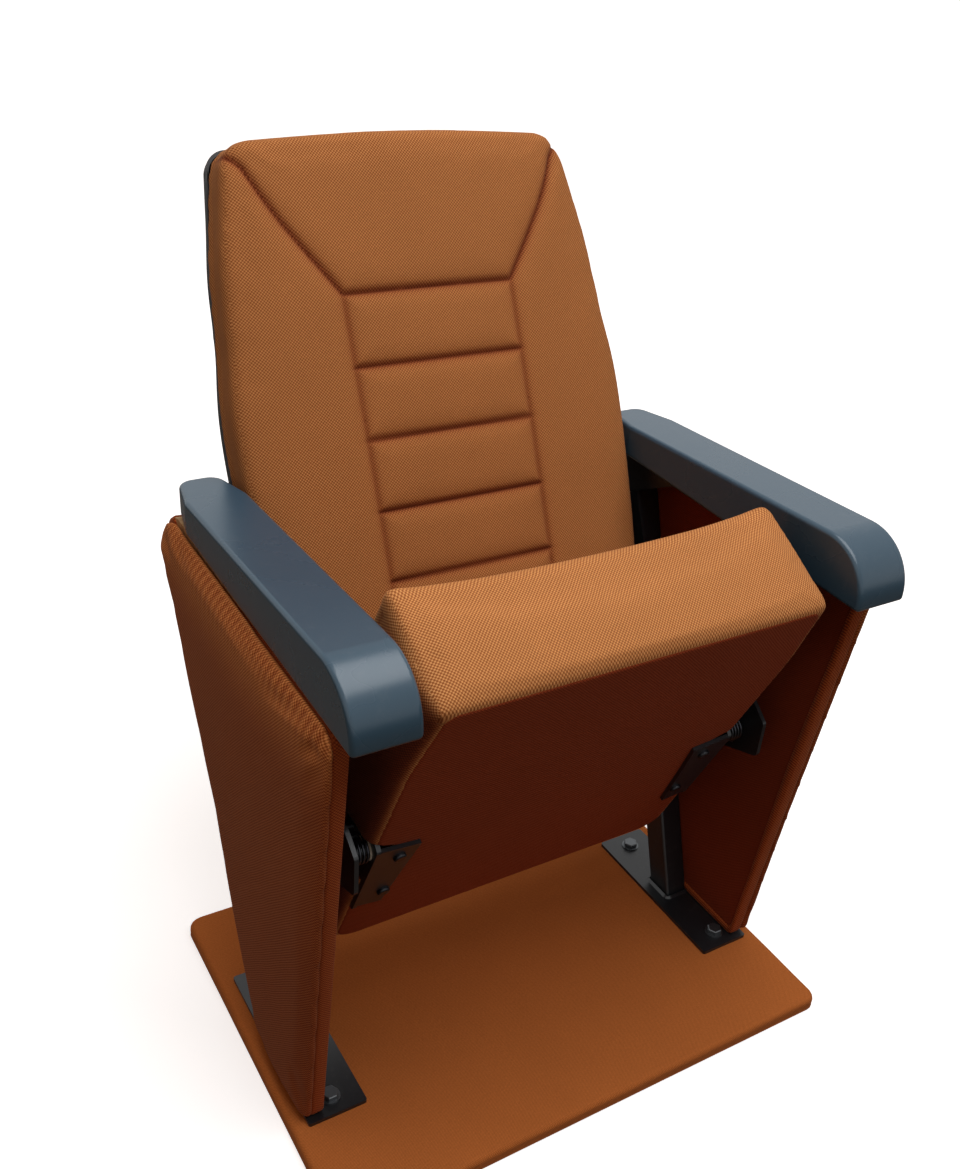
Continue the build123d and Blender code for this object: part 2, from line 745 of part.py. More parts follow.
with BuildPart() as seat_bracket:
    # the side plate, with the pivot hole and the curved stop slot
    with BuildSketch(seat_profile(bracket_inner)) as bracket_side:
        with BuildLine():
            Polyline(
                (flange_rear, -plate_thick),
                (flange_front, -plate_thick),
                (flange_front + bracket_round, pivot_in),
                (pivot_along + stop_radius / 2, bracket_height),
                (pivot_along - stop_radius - bracket_round, bracket_height),
                (flange_rear, bracket_height / 3),
                close=True,
            )
        make_face()
        fillet(bracket_side.vertices(), bracket_round / 2)
        with Locations((pivot_along, pivot_in)):
            Circle(bush_radius, mode=Mode.SUBTRACT)
    extrude(amount=-plate_thick)
    with BuildSketch(side_plane(bracket_inner - 1)) as stop_slot:
        with BuildLine():
            slot_path = CenterArc(
                (pivot_y, pivot_z), stop_radius, stop_angle - seat_travel, seat_travel
            )
        SlotArc(arc=slot_path, height=2 * (sleeve_radius + fit_gap))
        with Locations((bracket_tang.Y, bracket_tang.Z)):
            Circle(spring_wire / 2 + spring_hole_gap)
    extrude(amount=plate_thick + 2, mode=Mode.SUBTRACT)
    # the flange under the seat, with its pointed inner corner
    flange_inner = bracket_outer - flange_reach
    with BuildSketch(seat_level(0)):
        with BuildLine():
            Polyline(
                (bracket_inner, flange_rear + flange_point),
                (flange_inner + flange_point, flange_rear),
                (flange_inner, (flange_rear + flange_front) / 2),
                (flange_inner - flange_bevel, flange_front - flange_point),
                (bracket_inner, flange_front),
                close=True,
            )
        make_face()
        with Locations(*[(bracket_outer - seat_bolt_inset, spot) for spot in seat_bolt_spots]):
            Circle(seat_bolt_diameter / 2 + fit_gap, mode=Mode.SUBTRACT)
    extrude(amount=plate_thick)
save_pair(seat_bracket.part, "seat_bracket")

with BuildPart() as hinge_bushes:
    with BuildSketch(side_plane(bracket_inner)):
        with Locations((pivot_y, pivot_z)):
            Circle(bush_radius)
            Circle(pin_diameter / 2 + pin_gap, mode=Mode.SUBTRACT)
    extrude(amount=plate_thick)
    with BuildSketch(side_plane(bracket_outer)):
        with Locations((pivot_y, pivot_z)):
            Circle(bush_flange / 2)
            Circle(pin_diameter / 2 + pin_gap, mode=Mode.SUBTRACT)
    extrude(amount=bush_flange_thick)
    mirror(about=Plane.YZ)
save(hinge_bushes.part, "hinge_bushes")

with BuildPart() as seat_bolts:
    bolt_places = [
        (side * (bracket_outer - seat_bolt_inset), spot) for side in (-1, 1) for spot in seat_bolt_spots
    ]
    with BuildSketch(seat_level(-plate_thick)):
        with Locations(*bolt_places):
            Circle(seat_bolt_head / 2)
    extrude(amount=seat_bolt_head_thick)
    head_faces = seat_bolts.faces().filter_by(lambda face: face.normal_at().dot(-seat_normal) > 0.99)
    fillet(head_faces.edges(), seat_bolt_head_thick * head_dome)
    with BuildSketch(seat_level(-plate_thick)):
        with Locations(*bolt_places):
            Circle(seat_bolt_diameter / 2)
    extrude(amount=-(plate_thick + under_cover_thick + pan_thick))
save(seat_bolts.part, "seat_bolts")

# ---------------------------------------------------------------- seat cushion, pan and cover


def seat_plan(inset, corner):
    """The seat's outline, seen square to its underside."""
    with Locations((0, seat_length / 2)):
        RectangleRounded(seat_width - 2 * inset, seat_length - 2 * inset, corner)


with BuildPart() as seat_pan:
    with BuildSketch(seat_level(under_cover_thick)):
        seat_plan(pan_inset, pan_corner)
        with Locations(*bolt_places):
            Circle(seat_bolt_diameter / 2 + screw_gap, mode=Mode.SUBTRACT)
    extrude(amount=-pan_thick)
save(seat_pan.part, "seat_pan")

with BuildPart() as seat_bottom_cover:
    with BuildSketch(seat_level(0)):
        seat_plan(seat_waist, pan_corner)
        with Locations(*bolt_places):
            Circle(seat_bolt_diameter / 2 + fit_gap, mode=Mode.SUBTRACT)
    extrude(amount=-under_cover_thick)
save(seat_bottom_cover.part, "seat_bottom_cover")

with BuildPart() as seat_cushion:
    # crowned body: three cross-sections, rear, middle and front
    mid_thick = (seat_rear_thick + seat_front_thick) / 2 + seat_crown
    sections = (
        (-seat_front_lean, seat_side - 2, seat_rear_thick, seat_cross_crown),
        (seat_length / 2, seat_side - seat_waist, mid_thick, seat_cross_crown),
        (seat_length + 2 * seat_front_lean, seat_side, seat_front_thick, -seat_front_dip),
    )
    for along, half, thick, crown in sections:
        with BuildSketch(seat_section(along)):
            edge = thick - crown
            with BuildLine():
                Polyline((-half, edge), (-half, under_cover_thick), (half, under_cover_thick), (half, edge))
                ThreePointArc((half, edge), (0, thick), (-half, edge))
            make_face()
    loft()
    # front and rear ends, seen from the side
    with BuildSketch(seat_profile(0)) as seat_ends:
        with BuildLine():
            Polyline(
                (0, 0),
                (seat_length, 0),
                (seat_length + seat_front_lean * 1.1, seat_front_thick * 1.1),
                (seat_length / 2, seat_front_thick * 2),
                (0, seat_rear_thick * 1.2),
                close=True,
            )
        make_face()
    extrude(amount=seat_width, both=True, mode=Mode.INTERSECT)
    front_edges = seat_cushion.faces().sort_by(Axis((0, 0, 0), seat_up))[-1].edges()
    fillet(front_edges.sort_by(Axis((0, 0, 0), seat_normal))[-1], seat_nose)
    fillet(
        seat_cushion.edges().filter_by(
            lambda edge: abs(edge.center().X) > seat_side / 2
            and (edge.center() - seat_origin).dot(seat_normal) > seat_rear_thick / 3
        ),
        seat_side_round,
    )
    with BuildSketch(seat_level(under_cover_thick)):
        seat_plan(pan_inset - fit_gap, pan_corner)
    extrude(amount=-(pan_thick + fit_gap), mode=Mode.SUBTRACT)
save(seat_cushion.part, "seat_cushion")

# ---------------------------------------------------------------- backrest


def back_outline(outset):
    """The back's outline on its own plane: drawn-in waist, tapered top, arched top edge."""
    top = back_top + outset
    bottom = back_bottom - outset
    with BuildLine() as outline:
        for side in (-1, 1):
            shoulder = (side * (back_half_shoulder + outset), back_shoulder)
            ThreePointArc(
                (side * (back_half_bottom + outset), bottom),
                (side * (back_half_waist + outset), back_waist),
                shoulder,
            )
            Line(shoulder, (side * (back_half_top + outset), top - back_arch))
        Line((-back_half_bottom - outset, bottom), (back_half_bottom + outset, bottom))
        ThreePointArc(
            (-back_half_top - outset, top - back_arch),
            (0, top),
            (back_half_top + outset, top - back_arch),
        )
    make_face(outline.edges())


def round_back(sketch, radius):
    """Round the two upper and the two lower corners of a back outline."""
    corners = sketch.vertices().sort_by(Axis.Y)
    fillet(corners[-2:] + corners[:2], radius)


back_middle = (back_top + back_bottom) / 2
back_reach = (back_top - back_bottom) / 2 + back_arch       # half the cushion block's length
back_block = back_half_waist + back_arch                    # half its width


def pillow_depth(x, along):
    """Depth of the crowned front at a point of the back: a parabola each way."""
    crown = back_crown - (back_crown - back_end_crown) * ((along - back_middle) / back_reach) ** 2
    return back_cross_crown * (x / back_block) ** 2 - crown


# sewn channels: out to the upper corners, up both sides of the middle panel, and across it
channels = []
for side in (-1, 1):
    lap = (side * (channel_half - channel_lap), -1.5 * channel_lap)
    channels.append((lap, (side * (back_half_top + channel_radius), back_top)))
for side in (-1, 1):
    channels.append(((side * channel_half, back_bottom - channel_radius), (side * channel_half, channel_lap)))
for row in range(channel_count):
    row_end = channel_half - channel_lap / 2
    channels.append(((-row_end, -row * channel_spacing), (row_end, -row * channel_spacing)))

with BuildPart() as back_cushion:
    for along in (back_middle - back_reach, back_middle, back_middle + back_reach):
        with BuildSketch(back_section(along)):
            edge = pillow_depth(back_block, along)
            with BuildLine():
                Polyline(
                    (-back_block, edge),
                    (-back_block, board_front),
                    (back_block, board_front),
                    (back_block, edge),
                )
                ThreePointArc((back_block, edge), (0, pillow_depth(0, along)), (-back_block, edge))
            make_face()
    loft()
    with BuildSketch(back_level(-2 * back_crown)) as cushion_outline:
        back_outline(0)
        round_back(cushion_outline, back_corner)
    extrude(amount=-(board_front + 2 * back_crown), mode=Mode.INTERSECT)
    rear_edges = back_cushion.faces().sort_by(Axis((0, 0, 0), back_rearward))[-1].edges()
    outline_edges = back_cushion.edges().filter_by(Axis((0, 0, 0), back_rearward), reverse=True)
    fillet(outline_edges - rear_edges, back_front_round)
    for start, end in channels:
        halfway = ((start[0] + end[0]) / 2, (start[1] + end[1]) / 2)
        spots = [back_point(*spot, pillow_depth(*spot) - channel_lift) for spot in (start, halfway, end)]
        with BuildLine() as channel:
            ThreePointArc(*spots)
        with BuildSketch(Plane(channel.line @ 0, z_dir=channel.line % 0)):
            Circle(channel_radius)
        sweep(path=channel.line, mode=Mode.SUBTRACT)
save(back_cushion.part, "back_cushion")

back_bolt_places = [
    (side * (side_x - back_bolt_reach), along)
    for side in (-1, 1)
    for along in (back_bracket_low + back_bolt_inset, back_bracket_high - back_bolt_inset)
]
shell_screw_places = [(side * shell_screw_x, along) for side in (-1, 1) for along in shell_screw_spots]

with BuildPart() as back_board:
    with BuildSketch(back_level(board_front)) as back_board_outline:
        back_outline(-back_board_inset)
        round_back(back_board_outline, back_corner - back_board_inset)
        with Locations(*back_bolt_places):
            Circle(back_bolt_diameter / 2 + screw_gap, mode=Mode.SUBTRACT)
        with Locations(*shell_screw_places):
            Circle(screw_diameter / 2 + screw_gap, mode=Mode.SUBTRACT)
    extrude(amount=-back_board_thick)
save(back_board.part, "back_board")


shell_half = back_half_waist + 2 * shell_depth


def shell_rear(x):
    """Depth of the shell's bowed rear face at x."""
    return shell_front + shell_depth - shell_crown * (x / shell_half) ** 2


def shell_body(outset, front, rear):
    """A shallow tray with a bowed rear, for the shell or the hollow inside it."""
    with BuildSketch(back_level(front)) as tray_outline:
        back_outline(outset)
        round_back(tray_outline, back_corner + outset)
    extrude(tray_outline.sketch, amount=front - rear)
    with BuildSketch(back_section(back_bottom - shell_depth)) as tray_section:
        edge = rear - shell_crown
        with BuildLine():
            Polyline(
                (shell_half, edge), (shell_half, front - 1), (-shell_half, front - 1), (-shell_half, edge)
            )
            ThreePointArc((-shell_half, edge), (0, rear), (shell_half, edge))
        make_face()
    extrude(tray_section.sketch, amount=back_top - back_bottom + 2 * shell_depth, mode=Mode.INTERSECT)


with BuildPart() as shell_hollow:
    shell_body(shell_lip - shell_wall, shell_front - 1, shell_front + shell_depth - shell_wall)

with BuildPart() as back_shell:
    shell_body(shell_lip, shell_front, shell_front + shell_depth)
    rear_axis = Axis((0, 0, 0), back_rearward)
    fillet(back_shell.faces().sort_by(rear_axis)[-1].edges(), shell_round)
    add(shell_hollow.part, mode=Mode.SUBTRACT)
    # bosses that reach the board, drilled for the screws
    with BuildSketch(back_level(board_rear)):
        with Locations(*shell_screw_places):
            Circle(shell_boss_diameter / 2)
    extrude(amount=board_rear + shell_wall / 2 - shell_rear(shell_screw_x))
    with BuildSketch(back_level(board_rear)):
        with Locations(*shell_screw_places):
            Circle(screw_diameter / 2 + fit_gap)
    extrude(amount=-2 * shell_depth, mode=Mode.SUBTRACT)
    # notches where the brackets pass the rim
    with BuildSketch(back_level(shell_front - 1)):
        for side in (-1, 1):
            with Locations((side * back_half_waist, (back_bracket_low + back_bracket_high) / 2)):
                Rectangle(shell_notch_width, back_bracket_high - back_bracket_low + 2 * shell_notch_gap)
    extrude(amount=-(board_rear + back_bracket_thick + 2 - shell_front), mode=Mode.SUBTRACT)
save(back_shell.part, "back_shell")

with BuildPart() as shell_screws:
    screw_start = board_rear - back_board_thick * board_bite
    head_seat = shell_rear(shell_screw_x - screw_head / 2)
    with BuildSketch(back_level(head_seat)):
        with Locations(*shell_screw_places):
            Circle(screw_head / 2)
    extrude(amount=-screw_head_thick)
    with BuildSketch(back_level(screw_start)):
        with Locations(*shell_screw_places):
            Circle(screw_diameter / 2)
    extrude(amount=screw_start - head_seat)
save(shell_screws.part, "shell_screws")

with BuildPart() as back_bracket:
    with BuildSketch(back_section(back_bracket_low)) as bracket_angle:
        flange_rear_face = board_rear + back_bracket_thick
        with BuildLine():
            Polyline(
                (side_x - back_bracket_reach, board_rear),
                (leg_inner - back_bracket_thick, board_rear),
                (leg_inner - back_bracket_thick, flange_rear_face - back_bracket_leg),
                (leg_inner, flange_rear_face - back_bracket_leg),
                (leg_inner, flange_rear_face),
                (side_x - back_bracket_reach, flange_rear_face),
                close=True,
            )
        make_face()
    extrude(amount=back_bracket_high - back_bracket_low)
    with BuildSketch(back_level(board_rear)):
        with Locations(*[place for place in back_bolt_places if place[0] > 0]):
            Circle(back_bolt_diameter / 2 + fit_gap)
    extrude(amount=-back_bracket_thick, mode=Mode.SUBTRACT)
save_pair(back_bracket.part, "back_bracket")

with BuildPart() as back_bolts:
    with BuildSketch(back_level(board_rear + back_bracket_thick)):
        with Locations(*back_bolt_places):
            Circle(back_bolt_head / 2)
    extrude(amount=-back_bolt_head_thick)
    with BuildSketch(back_level(board_rear + back_bracket_thick)):
        with Locations(*back_bolt_places):
            Circle(back_bolt_diameter / 2)
    extrude(amount=back_bracket_thick + back_board_thick * board_bite)
save(back_bolts.part, "back_bolts")
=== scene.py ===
# %% [markdown]
# # A tip-up auditorium seat
#
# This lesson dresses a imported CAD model: a single folding seat between two moulded armrests, on a
# fabric-covered display base.  The frame gives every rigid piece its shape and its place.  What is
# added here is what cloth and light do: foam that fills its cover, seams, a woven cloth, moulded
# plastic with a fine grain, and black powder coat.
#
# Each step comes in two cells.  The first says what the thing is on the real seat and why it is
# made the way it is.  The second makes it.

import json
from math import cos, pi, radians, sin

import bmesh
import bpy
import numpy as np
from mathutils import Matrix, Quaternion, Vector


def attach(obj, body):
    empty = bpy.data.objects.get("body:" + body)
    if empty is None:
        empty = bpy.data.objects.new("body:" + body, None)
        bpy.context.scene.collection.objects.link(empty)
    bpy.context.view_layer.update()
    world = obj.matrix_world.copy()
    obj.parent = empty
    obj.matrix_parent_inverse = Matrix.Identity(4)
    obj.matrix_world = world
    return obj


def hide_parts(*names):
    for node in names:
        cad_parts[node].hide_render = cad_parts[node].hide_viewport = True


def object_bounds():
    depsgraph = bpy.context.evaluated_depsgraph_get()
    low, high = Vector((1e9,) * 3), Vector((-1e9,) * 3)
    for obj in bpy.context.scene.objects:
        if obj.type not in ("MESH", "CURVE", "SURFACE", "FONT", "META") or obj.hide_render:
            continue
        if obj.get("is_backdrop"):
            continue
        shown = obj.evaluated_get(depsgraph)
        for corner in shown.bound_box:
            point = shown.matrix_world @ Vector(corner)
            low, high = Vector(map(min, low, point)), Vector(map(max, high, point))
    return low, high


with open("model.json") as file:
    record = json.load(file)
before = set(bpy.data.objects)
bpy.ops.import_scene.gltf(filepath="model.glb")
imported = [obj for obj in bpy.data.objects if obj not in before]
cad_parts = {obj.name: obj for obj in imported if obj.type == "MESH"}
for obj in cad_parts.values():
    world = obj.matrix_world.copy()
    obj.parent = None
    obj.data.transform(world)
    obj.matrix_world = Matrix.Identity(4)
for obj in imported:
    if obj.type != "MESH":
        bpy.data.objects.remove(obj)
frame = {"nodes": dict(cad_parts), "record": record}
nodes = frame["nodes"]
cad_low, cad_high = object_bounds()
print("frame holds", len(nodes), "nodes, box", [round(v, 3) for v in (*cad_low, *cad_high)])

# %% [markdown]
# ## Two leaning sets of axes
#
# The seat stands tipped up, so its underside leans forward, and the back leans to the rear.
# Working in the axes of the piece itself is far easier than in the room's: `x` across, `along` from
# the rear edge to the front (or up the back), and `height` out of the board towards the sitter.
# One pair of functions turns such numbers into room points, and back again.

# %% Axes of the seat and of the back
SEAT_TIP = radians(24.1)
BACK_RECLINE = radians(25.8)
PIVOT = np.array([0.0, -0.072, 0.362])
PIVOT_ALONG, PIVOT_HEIGHT = 0.227, 0.014
ACROSS = np.array([1.0, 0.0, 0.0])
seat_up = np.array([0.0, -sin(SEAT_TIP), cos(SEAT_TIP)])
seat_out = np.array([0.0, cos(SEAT_TIP), sin(SEAT_TIP)])
seat_axes = (PIVOT - PIVOT_ALONG * seat_up - PIVOT_HEIGHT * seat_out, ACROSS, seat_up, seat_out)
back_up = np.array([0.0, sin(BACK_RECLINE), cos(BACK_RECLINE)])
back_out = np.array([0.0, -cos(BACK_RECLINE), sin(BACK_RECLINE)])
back_axes = (np.array([0.0, 0.279, 0.820]), ACROSS, back_up, back_out)


def to_room(axes, x, along, height):
    """Room point = origin + x * across + along * up + height * out."""
    origin, across, up, out = axes
    return origin + x[..., None] * across + along[..., None] * up + height[..., None] * out


def from_room(axes, points):
    """The three numbers of each room point: its offset from the origin, dotted with each axis."""
    offset = points - axes[0]
    return offset @ axes[1], offset @ axes[2], offset @ axes[3]


def smooth(t):
    """A soft step: 0 below 0, 1 above 1, and 3t^2 - 2t^3 in between."""
    t = np.clip(t, 0, 1)
    return t * t * (3 - 2 * t)


# %% [markdown]
# ## Camera
#
# The camera stands at the left of the seat, above eye level for a sitter, and looks down by about
# 32 degrees.  It is rolled a little, as a hand-held phone is.  The position and the focal length
# come from a fit of the frame's corners to the picture, so they are written as they were found.

# %% Camera
PICTURE_HEIGHT = 1169
MIDDLE_ROW = 640.9
FOCAL_PIXELS = 1188.1
ROLL = radians(4.598)


def add_object(name, data):
    """Makes an object from a mesh, lamp or camera and links it to the scene."""
    made = bpy.data.objects.new(name, data)
    bpy.context.scene.collection.objects.link(made)
    made.rotation_mode = "QUATERNION"
    return made


lens = bpy.data.cameras.new("camera")
lens.sensor_width = 36.0
lens.lens = FOCAL_PIXELS / PICTURE_HEIGHT * lens.sensor_width
lens.shift_y = (MIDDLE_ROW - PICTURE_HEIGHT / 2) / PICTURE_HEIGHT
lens.clip_start, lens.clip_end = 0.05, 50
camera = add_object("camera", lens)
looking = Vector((0.4586, 0.7128, -0.5307))
camera.location = (-0.6473, -0.8986, 1.198)
camera.rotation_quaternion = looking.to_track_quat("-Z", "Y") @ Quaternion((0, 0, 1), ROLL)
bpy.context.scene.camera = camera
print("lens", round(lens.lens, 2), "mm, shift", round(lens.shift_y, 4))

# %% [markdown]
# ## Making materials: a few small helpers
#
# A node tree is a list of boxes and wires.  `wire` sets the inputs of a box, `put` adds a box,
# `maths` adds one that calculates, `material` starts a material with its Principled shader, and
# `node_group` starts a reusable effect.  Colours are written as they look on a screen, so `paint`
# turns them into the linear values that the renderer works with.

# %% Node helpers


def paint(red, green, blue):
    """Linear colour from screen values 0-255: ((c + 0.055) / 1.055) ^ 2.4, or c / 12.92 when dark."""
    screen = np.array([red, green, blue]) / 255
    linear = np.where(screen > 0.04045, ((screen + 0.055) / 1.055) ** 2.4, screen / 12.92)
    return (*linear.tolist(), 1.0)


def wire(tree, node, inputs):
    """Sets inputs of a node.  Each is a plain value, or the output socket that it is wired to."""
    for key, value in inputs.items():
        if isinstance(value, bpy.types.NodeSocket):
            tree.links.new(value, node.inputs[key])
        else:
            node.inputs[key].default_value = value


def put(tree, kind, inputs=None, **settings):
    """Adds one node with its settings and its inputs."""
    made = tree.nodes.new(kind)
    for key, value in settings.items():
        setattr(made, key, value)
    wire(tree, made, inputs or {})
    return made


def maths(tree, operation, *values, kind="Math", **named):
    """The output of a Math or VectorMath node with these values, in order or by name."""
    inputs = {**dict(enumerate(values)), **named}
    return put(tree, "ShaderNode" + kind, inputs, operation=operation).outputs[0]


def node_group(name, inputs, outputs):
    """An empty shader node group with named sockets; returns (tree, its inputs, its output node)."""
    tree = bpy.data.node_groups.new(name, "ShaderNodeTree")
    for label, kind, value in inputs:
        socket = tree.interface.new_socket(name=label, in_out="INPUT", socket_type=kind)
        if value is not None:
            socket.default_value = value
    for label, kind in outputs:
        tree.interface.new_socket(name=label, in_out="OUTPUT", socket_type=kind)
    return tree, tree.nodes.new("NodeGroupInput").outputs, tree.nodes.new("NodeGroupOutput")


def material(name, **values):
    """A material with its Principled shader; values are set on the shader's own sockets."""
    made = bpy.data.materials.new(name)
    made.use_nodes = True
    shader = made.node_tree.nodes["Principled BSDF"]
    wire(made.node_tree, shader, {key.replace("_", " "): value for key, value in values.items()})
    return made, made.node_tree, shader


# %% [markdown]
# ## The weave
#
# The cover is a coarse two-tone basket weave: bright orange yarn floats over a darker ground, so
# from a step away the cloth is a field of small staggered dots.  A photo texture could show it, but
# it would slide over the curves.  The product of two sines gives the same staggered lattice from
# two coordinates, and a third, slow noise bends the rows a little, as real cloth is never square.
# The same number drives colour and height, so each dot catches the light where it is bright.
#
# In a crease, light bounces from orange wall to orange wall and turns redder each time.  The group
# paints that shade into the colour: painted shade keeps the most of the red and the least of the
# blue, as the colour is multiplied, channel by channel, by kept ^ shade, with the shade from 0 to 1.
# Each piece keeps that number on its points: painted shade at seams, in deep gaps, and down a panel.

# %% Weave group
weave, given, weave_out = node_group(
    "basket weave",
    [
        ("Vector", "NodeSocketVector", None),
        ("Pitch", "NodeSocketFloat", 0.004),
        ("Yarn", "NodeSocketColor", paint(206, 130, 72)),
        ("Ground", "NodeSocketColor", paint(132, 66, 30)),
        ("Painted shade", "NodeSocketFloat", 0.0),
    ],
    [("Color", "NodeSocketColor"), ("Height", "NodeSocketFloat"), ("Roughness", "NodeSocketFloat")],
)
# share of each colour channel that full painted shade keeps
KEPT_IN_PAINTED_SHADE = {"X": 0.20, "Y": 0.075, "Z": 0.06}
drift = put(weave, "ShaderNodeTexNoise", {"Vector": given["Vector"], "Scale": 14.0, "Detail": 1.0})
centred = maths(weave, "SUBTRACT", drift.outputs["Color"], (0.5, 0.5, 0.5), kind="VectorMath")
bent = maths(weave, "SCALE", centred, kind="VectorMath", Scale=0.0035)
moved = maths(weave, "ADD", given["Vector"], bent, kind="VectorMath")
turns = maths(weave, "DIVIDE", 2 * pi, given["Pitch"])
wound = maths(weave, "SCALE", moved, kind="VectorMath", Scale=turns)
split = put(weave, "ShaderNodeSeparateXYZ", {0: wound})
warp = maths(weave, "SINE", split.outputs["X"])
weft = maths(weave, "SINE", split.outputs["Y"])
lattice = maths(weave, "MULTIPLY", warp, weft)
float_of_yarn = put(
    weave, "ShaderNodeMapRange", {"Value": lattice, "From Min": -0.55, "From Max": 0.65},
    interpolation_type="SMOOTHSTEP",
).outputs[0]
yarn_share = maths(weave, "MULTIPLY_ADD", float_of_yarn, 0.86, 0.04)
two_tone = put(
    weave, "ShaderNodeMix", {"Factor": yarn_share, "A": given["Ground"], "B": given["Yarn"]},
    data_type="RGBA",
)
slub = put(weave, "ShaderNodeTexNoise", {"Vector": moved, "Scale": 420.0, "Detail": 2.0}).outputs["Fac"]
patch = put(weave, "ShaderNodeTexNoise", {"Vector": given["Vector"], "Scale": 7.0, "Detail": 3.0})
slub_light = put(weave, "ShaderNodeMapRange", {"Value": slub, "To Min": 0.82, "To Max": 1.18})
patch_light = put(
    weave, "ShaderNodeMapRange", {"Value": patch.outputs["Fac"], "To Min": 0.90, "To Max": 1.10}
)
light = maths(weave, "MULTIPLY", slub_light.outputs[0], patch_light.outputs[0])
# painted shade: the colour is darkened by the piece's painted shade number, red kept the most
kept = {channel: maths(weave, "POWER", share, given["Painted shade"]) for channel, share in KEPT_IN_PAINTED_SHADE.items()}
painted_shade_factor = put(weave, "ShaderNodeCombineXYZ", kept)
painted_shade_colour = maths(weave, "MULTIPLY", two_tone.outputs["Result"], painted_shade_factor.outputs[0], kind="VectorMath")
rough = put(weave, "ShaderNodeMapRange", {"Value": float_of_yarn, "To Min": 0.95, "To Max": 0.78})
wire(weave, weave_out, {
    "Color": maths(weave, "SCALE", painted_shade_colour, kind="VectorMath", Scale=light),
    "Height": maths(weave, "MULTIPLY_ADD", slub, 0.35, float_of_yarn),
    "Roughness": rough.outputs[0],
})

# %% [markdown]
# ## The cloths
#
# Seven cloths share that group.  The seat, the back, the side pads and their edges carry the same
# coarse weave, each in its own pair of tones, and these tones are painted light and shade: the back
# is a little darker than the seat, the side pads are redder, and the edges are darker and redder
# still, each set for the light that falls on it.  The seat's underside and the linings are a darker,
# redder cloth, painted darker still with the shade that they lie in, and the base has a finer one
# with less contrast and less relief.  A little sheen stands for the fuzz of yarn ends, which
# brightens cloth at a glancing angle.

# %% Cloth materials


def cover(tree, shader, surface, strength, relief_mm):
    """Wires a group's colour and roughness to the shader, and its height through a bump."""
    relief = {"Height": surface.outputs["Height"], "Strength": strength, "Distance": relief_mm / 1000}
    wire(tree, shader, {
        "Base Color": surface.outputs["Color"],
        "Roughness": surface.outputs["Roughness"],
        "Normal": put(tree, "ShaderNodeBump", relief).outputs["Normal"],
    })


def cloth(name, pitch, yarn, ground, relief_mm, sheen=0.08):
    """A woven cloth: the weave group reads the piece's own UV map, laid out in metres."""
    made, tree, shader = material(
        name, Sheen_Weight=sheen, Sheen_Roughness=0.45, Sheen_Tint=paint(255, 214, 170),
        Specular_IOR_Level=0.15, IOR=1.45,
    )
    where = put(tree, "ShaderNodeUVMap", uv_map="cloth")
    # the painted shade number kept on the piece's points; it darkens the cloth's colour
    painted_shade = put(tree, "ShaderNodeAttribute", attribute_name="painted_shade")
    inputs = {
        "Vector": where.outputs["UV"], "Painted shade": painted_shade.outputs["Fac"],
        "Pitch": pitch, "Yarn": yarn, "Ground": ground,
    }
    cover(tree, shader, put(tree, "ShaderNodeGroup", inputs, node_tree=weave), 0.7, relief_mm)
    return made


COARSE = 0.0036
orange_cloth = cloth("orange basket weave", COARSE, paint(222, 157, 97), paint(142, 78, 37), 0.32)
# the seat's cloth in darker tones: painted shade for the back
back_cloth_with_painted_shade = cloth("orange basket weave, painted shade for the back", COARSE, paint(197, 133, 78), paint(127, 67, 30), 0.32)
# the seat's cloth in redder tones: painted light and shade for the side pads
side_cloth_with_painted_light_and_shade = cloth("orange basket weave, painted light and shade for the sides", COARSE, paint(228, 150, 86), paint(146, 74, 32), 0.32)
# the seat's cloth in darker, redder tones: painted shade for the panels' edges
wrap_cloth_with_painted_shade = cloth("orange basket weave, painted shade for the edges", COARSE, paint(178, 90, 43), paint(114, 43, 16), 0.32)
# a darker, redder cloth, painted darker still: painted shade under the seat
underside_cloth_with_painted_shade = cloth("underside cloth with painted shade", COARSE, paint(162, 70, 36), paint(112, 42, 18), 0.25, 0.04)
# a finer, darker, redder cloth, painted darker still: painted shade inside the panels
lining_cloth_with_painted_shade = cloth("lining cloth with painted shade", 0.0030, paint(136, 56, 28), paint(96, 34, 15), 0.2, 0.04)
base_cloth = cloth("base cloth", 0.0022, paint(204, 120, 60), paint(162, 90, 41), 0.15, 0.06)
print("seven cloths")

# %% [markdown]
# ## Grain and wear for the hard finishes
#
# Moulded plastic is never glass smooth: the tool leaves a fine grain that breaks up highlights.
# Powder coat has a softer, larger ripple, called orange peel.  One group serves both, with the
# grain's size and the amount of variation as inputs.  It puts out a height for the bump, a
# roughness that drifts a little, and a colour that is dusted slightly lighter in patches.

# %% Grain group
grain, given, grain_out = node_group(
    "surface grain",
    [
        ("Vector", "NodeSocketVector", None),
        ("Grains per metre", "NodeSocketFloat", 2500.0),
        ("Colour", "NodeSocketColor", paint(60, 66, 74)),
        ("Roughness", "NodeSocketFloat", 0.42),
        ("Dust", "NodeSocketFloat", 0.05),
    ],
    [("Color", "NodeSocketColor"), ("Height", "NodeSocketFloat"), ("Roughness", "NodeSocketFloat")],
)
fine = put(
    grain, "ShaderNodeTexNoise",
    {"Vector": given["Vector"], "Scale": given["Grains per metre"], "Detail": 2.0, "Roughness": 0.6},
)
broad = put(grain, "ShaderNodeTexNoise", {"Vector": given["Vector"], "Scale": 9.0, "Detail": 4.0})
scuff = put(
    grain, "ShaderNodeTexNoise",
    {"Vector": given["Vector"], "Scale": 60.0, "Detail": 6.0, "Roughness": 0.7},
)
drift = put(grain, "ShaderNodeMapRange", {"Value": broad.outputs["Fac"], "To Min": -0.06, "To Max": 0.06})
